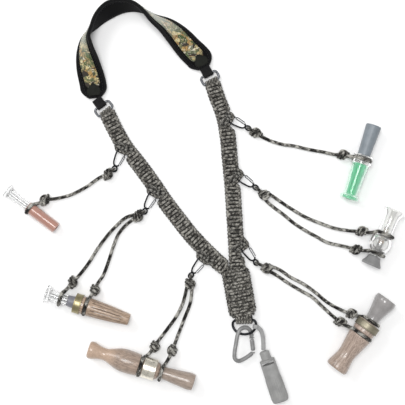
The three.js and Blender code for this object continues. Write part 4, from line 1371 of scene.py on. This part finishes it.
# Each cord: its name, its hook and call, the groove on the call as (x, radius), its last knot, its lane,
# whether it shares its neighbour's first knot, and its route.
DROPS = [
    ("1", 1, (-2.8, 4.8), (-189, 3), 0, False, [(-124, 30), (-140, 19), (-157, 10), (-175, 5)]),
    ("2a", 2, (9, 6), (-157, -96), -1, False,
     [(-92, -18), (-106, -30), (-118, -44), (-128, -58), (-138, -74), (-149, -88)]),
    ("2b", 2, (-23, 8), (-130, -105), 1, True,
     [(-86, -22), (-100, -36), (-108, -54), (-113, -70), (-120, -88), (-126, -97)]),
    ("3a", 3, (-22.6, 9.6), (-58, -173), -1, False,
     [(-20, -107), (-24, -122), (-32, -138), (-42, -152), (-52, -165)]),
    ("3b", 3, (3.2, 7.2), (-36, -178), 1, True,
     [(-13, -107), (-15, -122), (-22, -140), (-28, -156), (-33, -169)]),
    ("4", 4, (-4.4, 7.8), (169, 57), 0, False,
     [(72, 79), (83, 74), (97, 70), (111, 68), (128, 64), (145, 61), (159, 58)]),
    ("5a", 5, (-28.5, 8.4), (192, -35), 1, False,
     [(84, 8), (97, -1), (111, -10), (125, -18), (142, -25), (159, -31), (177, -34)]),
    ("5b", 5, (-3.8, 7.5), (184, -56), -1, True,
     [(77, 2), (86, -6), (97, -14), (109, -24), (121, -32), (137, -41), (150, -48), (171, -53)]),
    ("6a", 6, (2.8, 8.25), (179, -134), 1, False,
     [(91, -80), (106, -90), (123, -99), (138, -110), (150, -120), (168, -130)]),
    ("6b", 6, (-16.9, 10.8), (166, -144), -1, True,
     [(88, -87), (103, -97), (118, -106), (132, -114), (144, -125), (156, -136)]),
]


def knot(length, width, height, turns, offset):
    """A tight barrel knot: slanted turns of the cord round themselves, with one strand riding over them."""
    shape = Shape()
    radius = width / 2 - PULLED_CORD
    points = []
    count = int(turns * 18)
    for i in range(count + 1):
        share = i / count
        angle = 2 * math.pi * turns * share + offset
        squeeze = 0.8 + 0.2 * math.sin(math.pi * share)
        y, z = radius * squeeze * math.cos(angle), radius * squeeze * math.sin(angle) * (height / width)
        points.append(at((share - 0.5) * (length - 4.6) + 0.5 * y, y, z))
    tube(points, 1.78, 9, offset=offset * 11, shape=shape)
    side = 1 if math.sin(offset * 3) > 0 else -1
    rider = [
        (-length / 2 + 1.6, -0.8 * side, 1.0), (-length * 0.22, side * (width / 2 - 1.6), 1.6),
        (0.4, side * (width / 2 - 0.9), 1.9), (length * 0.26, side * (width / 2 - 2.4), 2.3),
        (length / 2 - 1.4, 0.6 * side, 0.6),
    ]
    shape.merge(wire(rider, 1.7, 9, offset=offset * 5))
    middle = [(x, 0) for x in (-length / 2 + 0.8, 0, length / 2 - 0.8)]
    shape.merge(wire(middle, min(2.6, width / 2 - 2.2), 9, offset=3.0))
    return shape


def noose_path(middle, along, out, radius, throat, knot_place):
    """From the knot over the call, round it and back under to the knot. out points from call to knot."""
    to_throat = throat - middle
    reach, rise = to_throat.dot(out), to_throat.z
    towards = math.atan2(rise, reach)
    spread = math.acos(min(0.98, radius / math.hypot(reach, rise))) * 0.92
    loop = []
    first, last = towards + spread, towards + 2 * math.pi - spread
    steps = 22
    for k in range(steps + 1):
        angle = first + (last - first) * k / steps
        slide = 0.5 * (k / steps - 0.5)
        around = out * (radius * math.cos(angle)) + UP * (radius * math.sin(angle))
        loop.append(middle + around + along * slide)
    over = throat + UP * 1.95
    under = throat - UP * 1.95
    under.z = max(under.z, LOW)
    end = knot_place + (throat - knot_place).normalized() * 2.5 - UP * 0.9
    return [over] + loop + [under, end]


def cord_line(start, route, last_knot, call, groove):
    """A drop's cord from its first knot to its last one and round the call, and the throat of its noose."""
    heading = math.radians(call["heading"])
    along = at(math.cos(heading), math.sin(heading))
    across = at(-along.y, along.x)
    middle = at(*call["seam"], call["height"]) + along * groove[0]
    radius = groove[1] + GAP + CORD / 2
    out = across * math.copysign(1, across.dot(last_knot - at(middle.x, middle.y, KNOT_HEIGHT)))
    to_knot = at(last_knot.x - middle.x, last_knot.y - middle.y)
    throat = middle + to_knot.normalized() * min(radius + 6.0, to_knot.length - 4.0)
    throat.z = (call["height"] + KNOT_HEIGHT) / 2
    run = [start] + [at(x, y, LOW) for x, y in route] + [last_knot]
    line = spline(run + noose_path(middle, along, out, radius, throat, last_knot), 10)
    return resample(line, 1.2), throat


def heading_of(direction):
    return math.degrees(math.atan2(direction.y, direction.x))


EYE_LOOP = [(9.5, 1.4), (5.2, 3.0), (1.9, 2.8), (0.1, 0), (1.9, -2.8), (5.2, -3.0), (9.5, -1.4)]

for name, hook, groove, knot_at, lane, second, route in DROPS:
    edge, heading = HOOKS[hook - 1]
    eye = placing(edge, heading) @ at(EYE_FROM_BAR, 0)
    first_knot, last_knot = at(*FIRST_KNOTS[hook - 1], KNOT_HEIGHT), at(*knot_at, KNOT_HEIGHT)
    out = at(first_knot.x - eye.x, first_knot.y - eye.y).normalized()
    start = first_knot + at(-out.y, out.x) * (lane * SPACING / 2)
    line, throat = cord_line(start, route, last_knot, CALLS[hook - 1], groove)
    body = f"drop_{hook}"
    cord = piece(
        f"cord_{name}", tube(line, CORD / 2, 12, offset=37.0 * hook + 11 * lane), body, CAMO_CORD,
        f"drop_cord_{name}", sharp=60,
    )
    turn = heading_of(throat - last_knot)
    seed = hook * 1.7 + lane * 0.9
    call_knot = knot(14, 12, 9.2, 2.9, seed).move(placing(last_knot, turn))
    pieces_on_it = [piece(f"call_knot_{name}", call_knot, body, CAMO_CORD, sharp=60)]
    if not second:
        first_turn = heading_of(out)
        top_knot = knot(14.4, 12 + (0.8 if lane else 0), 9.4, 3.0, seed + 0.5)
        top_knot.move(placing(first_knot, first_turn))
        pieces_on_it.append(piece(f"hook_knot_{hook}", top_knot, body, CAMO_CORD, sharp=60))
        loop = wire([(x, 0, z) for x, z in EYE_LOOP], PULLED_CORD, 10, step=0.6)
        loop.move(placing(eye, first_turn))
        pieces_on_it.append(piece(f"eye_loop_{hook}", loop, body, CAMO_CORD, sharp=60))
    centreline = [list(point * MM) for point in resample(line, 4.0)]

# ---------------------------------------------------------------- floor and surroundings
floor_mesh = bpy.data.meshes.new("floor")
REACH = 4.0  # metres from the middle to each side
corners = [(-REACH, -REACH, 0), (REACH, -REACH, 0), (REACH, REACH, 0), (-REACH, REACH, 0)]
floor_mesh.from_pydata(corners, [], [(0, 1, 2, 3)])
floor = bpy.data.objects.new("floor", floor_mesh)
floor.location.z = -0.8 * MM
bpy.context.scene.collection.objects.link(floor)
paper = Finish("floor", Roughness=0.9, Specular_IOR_Level=0.1)
paper.colour(linear(247, 247, 247))
floor.data.materials.append(paper.material)

world = bpy.data.worlds.new("studio")
world.use_nodes = True
background = world.node_tree.nodes["Background"]
background.inputs["Color"].default_value = (1, 1, 1, 1)
background.inputs["Strength"].default_value = 0.5
bpy.context.scene.world = world
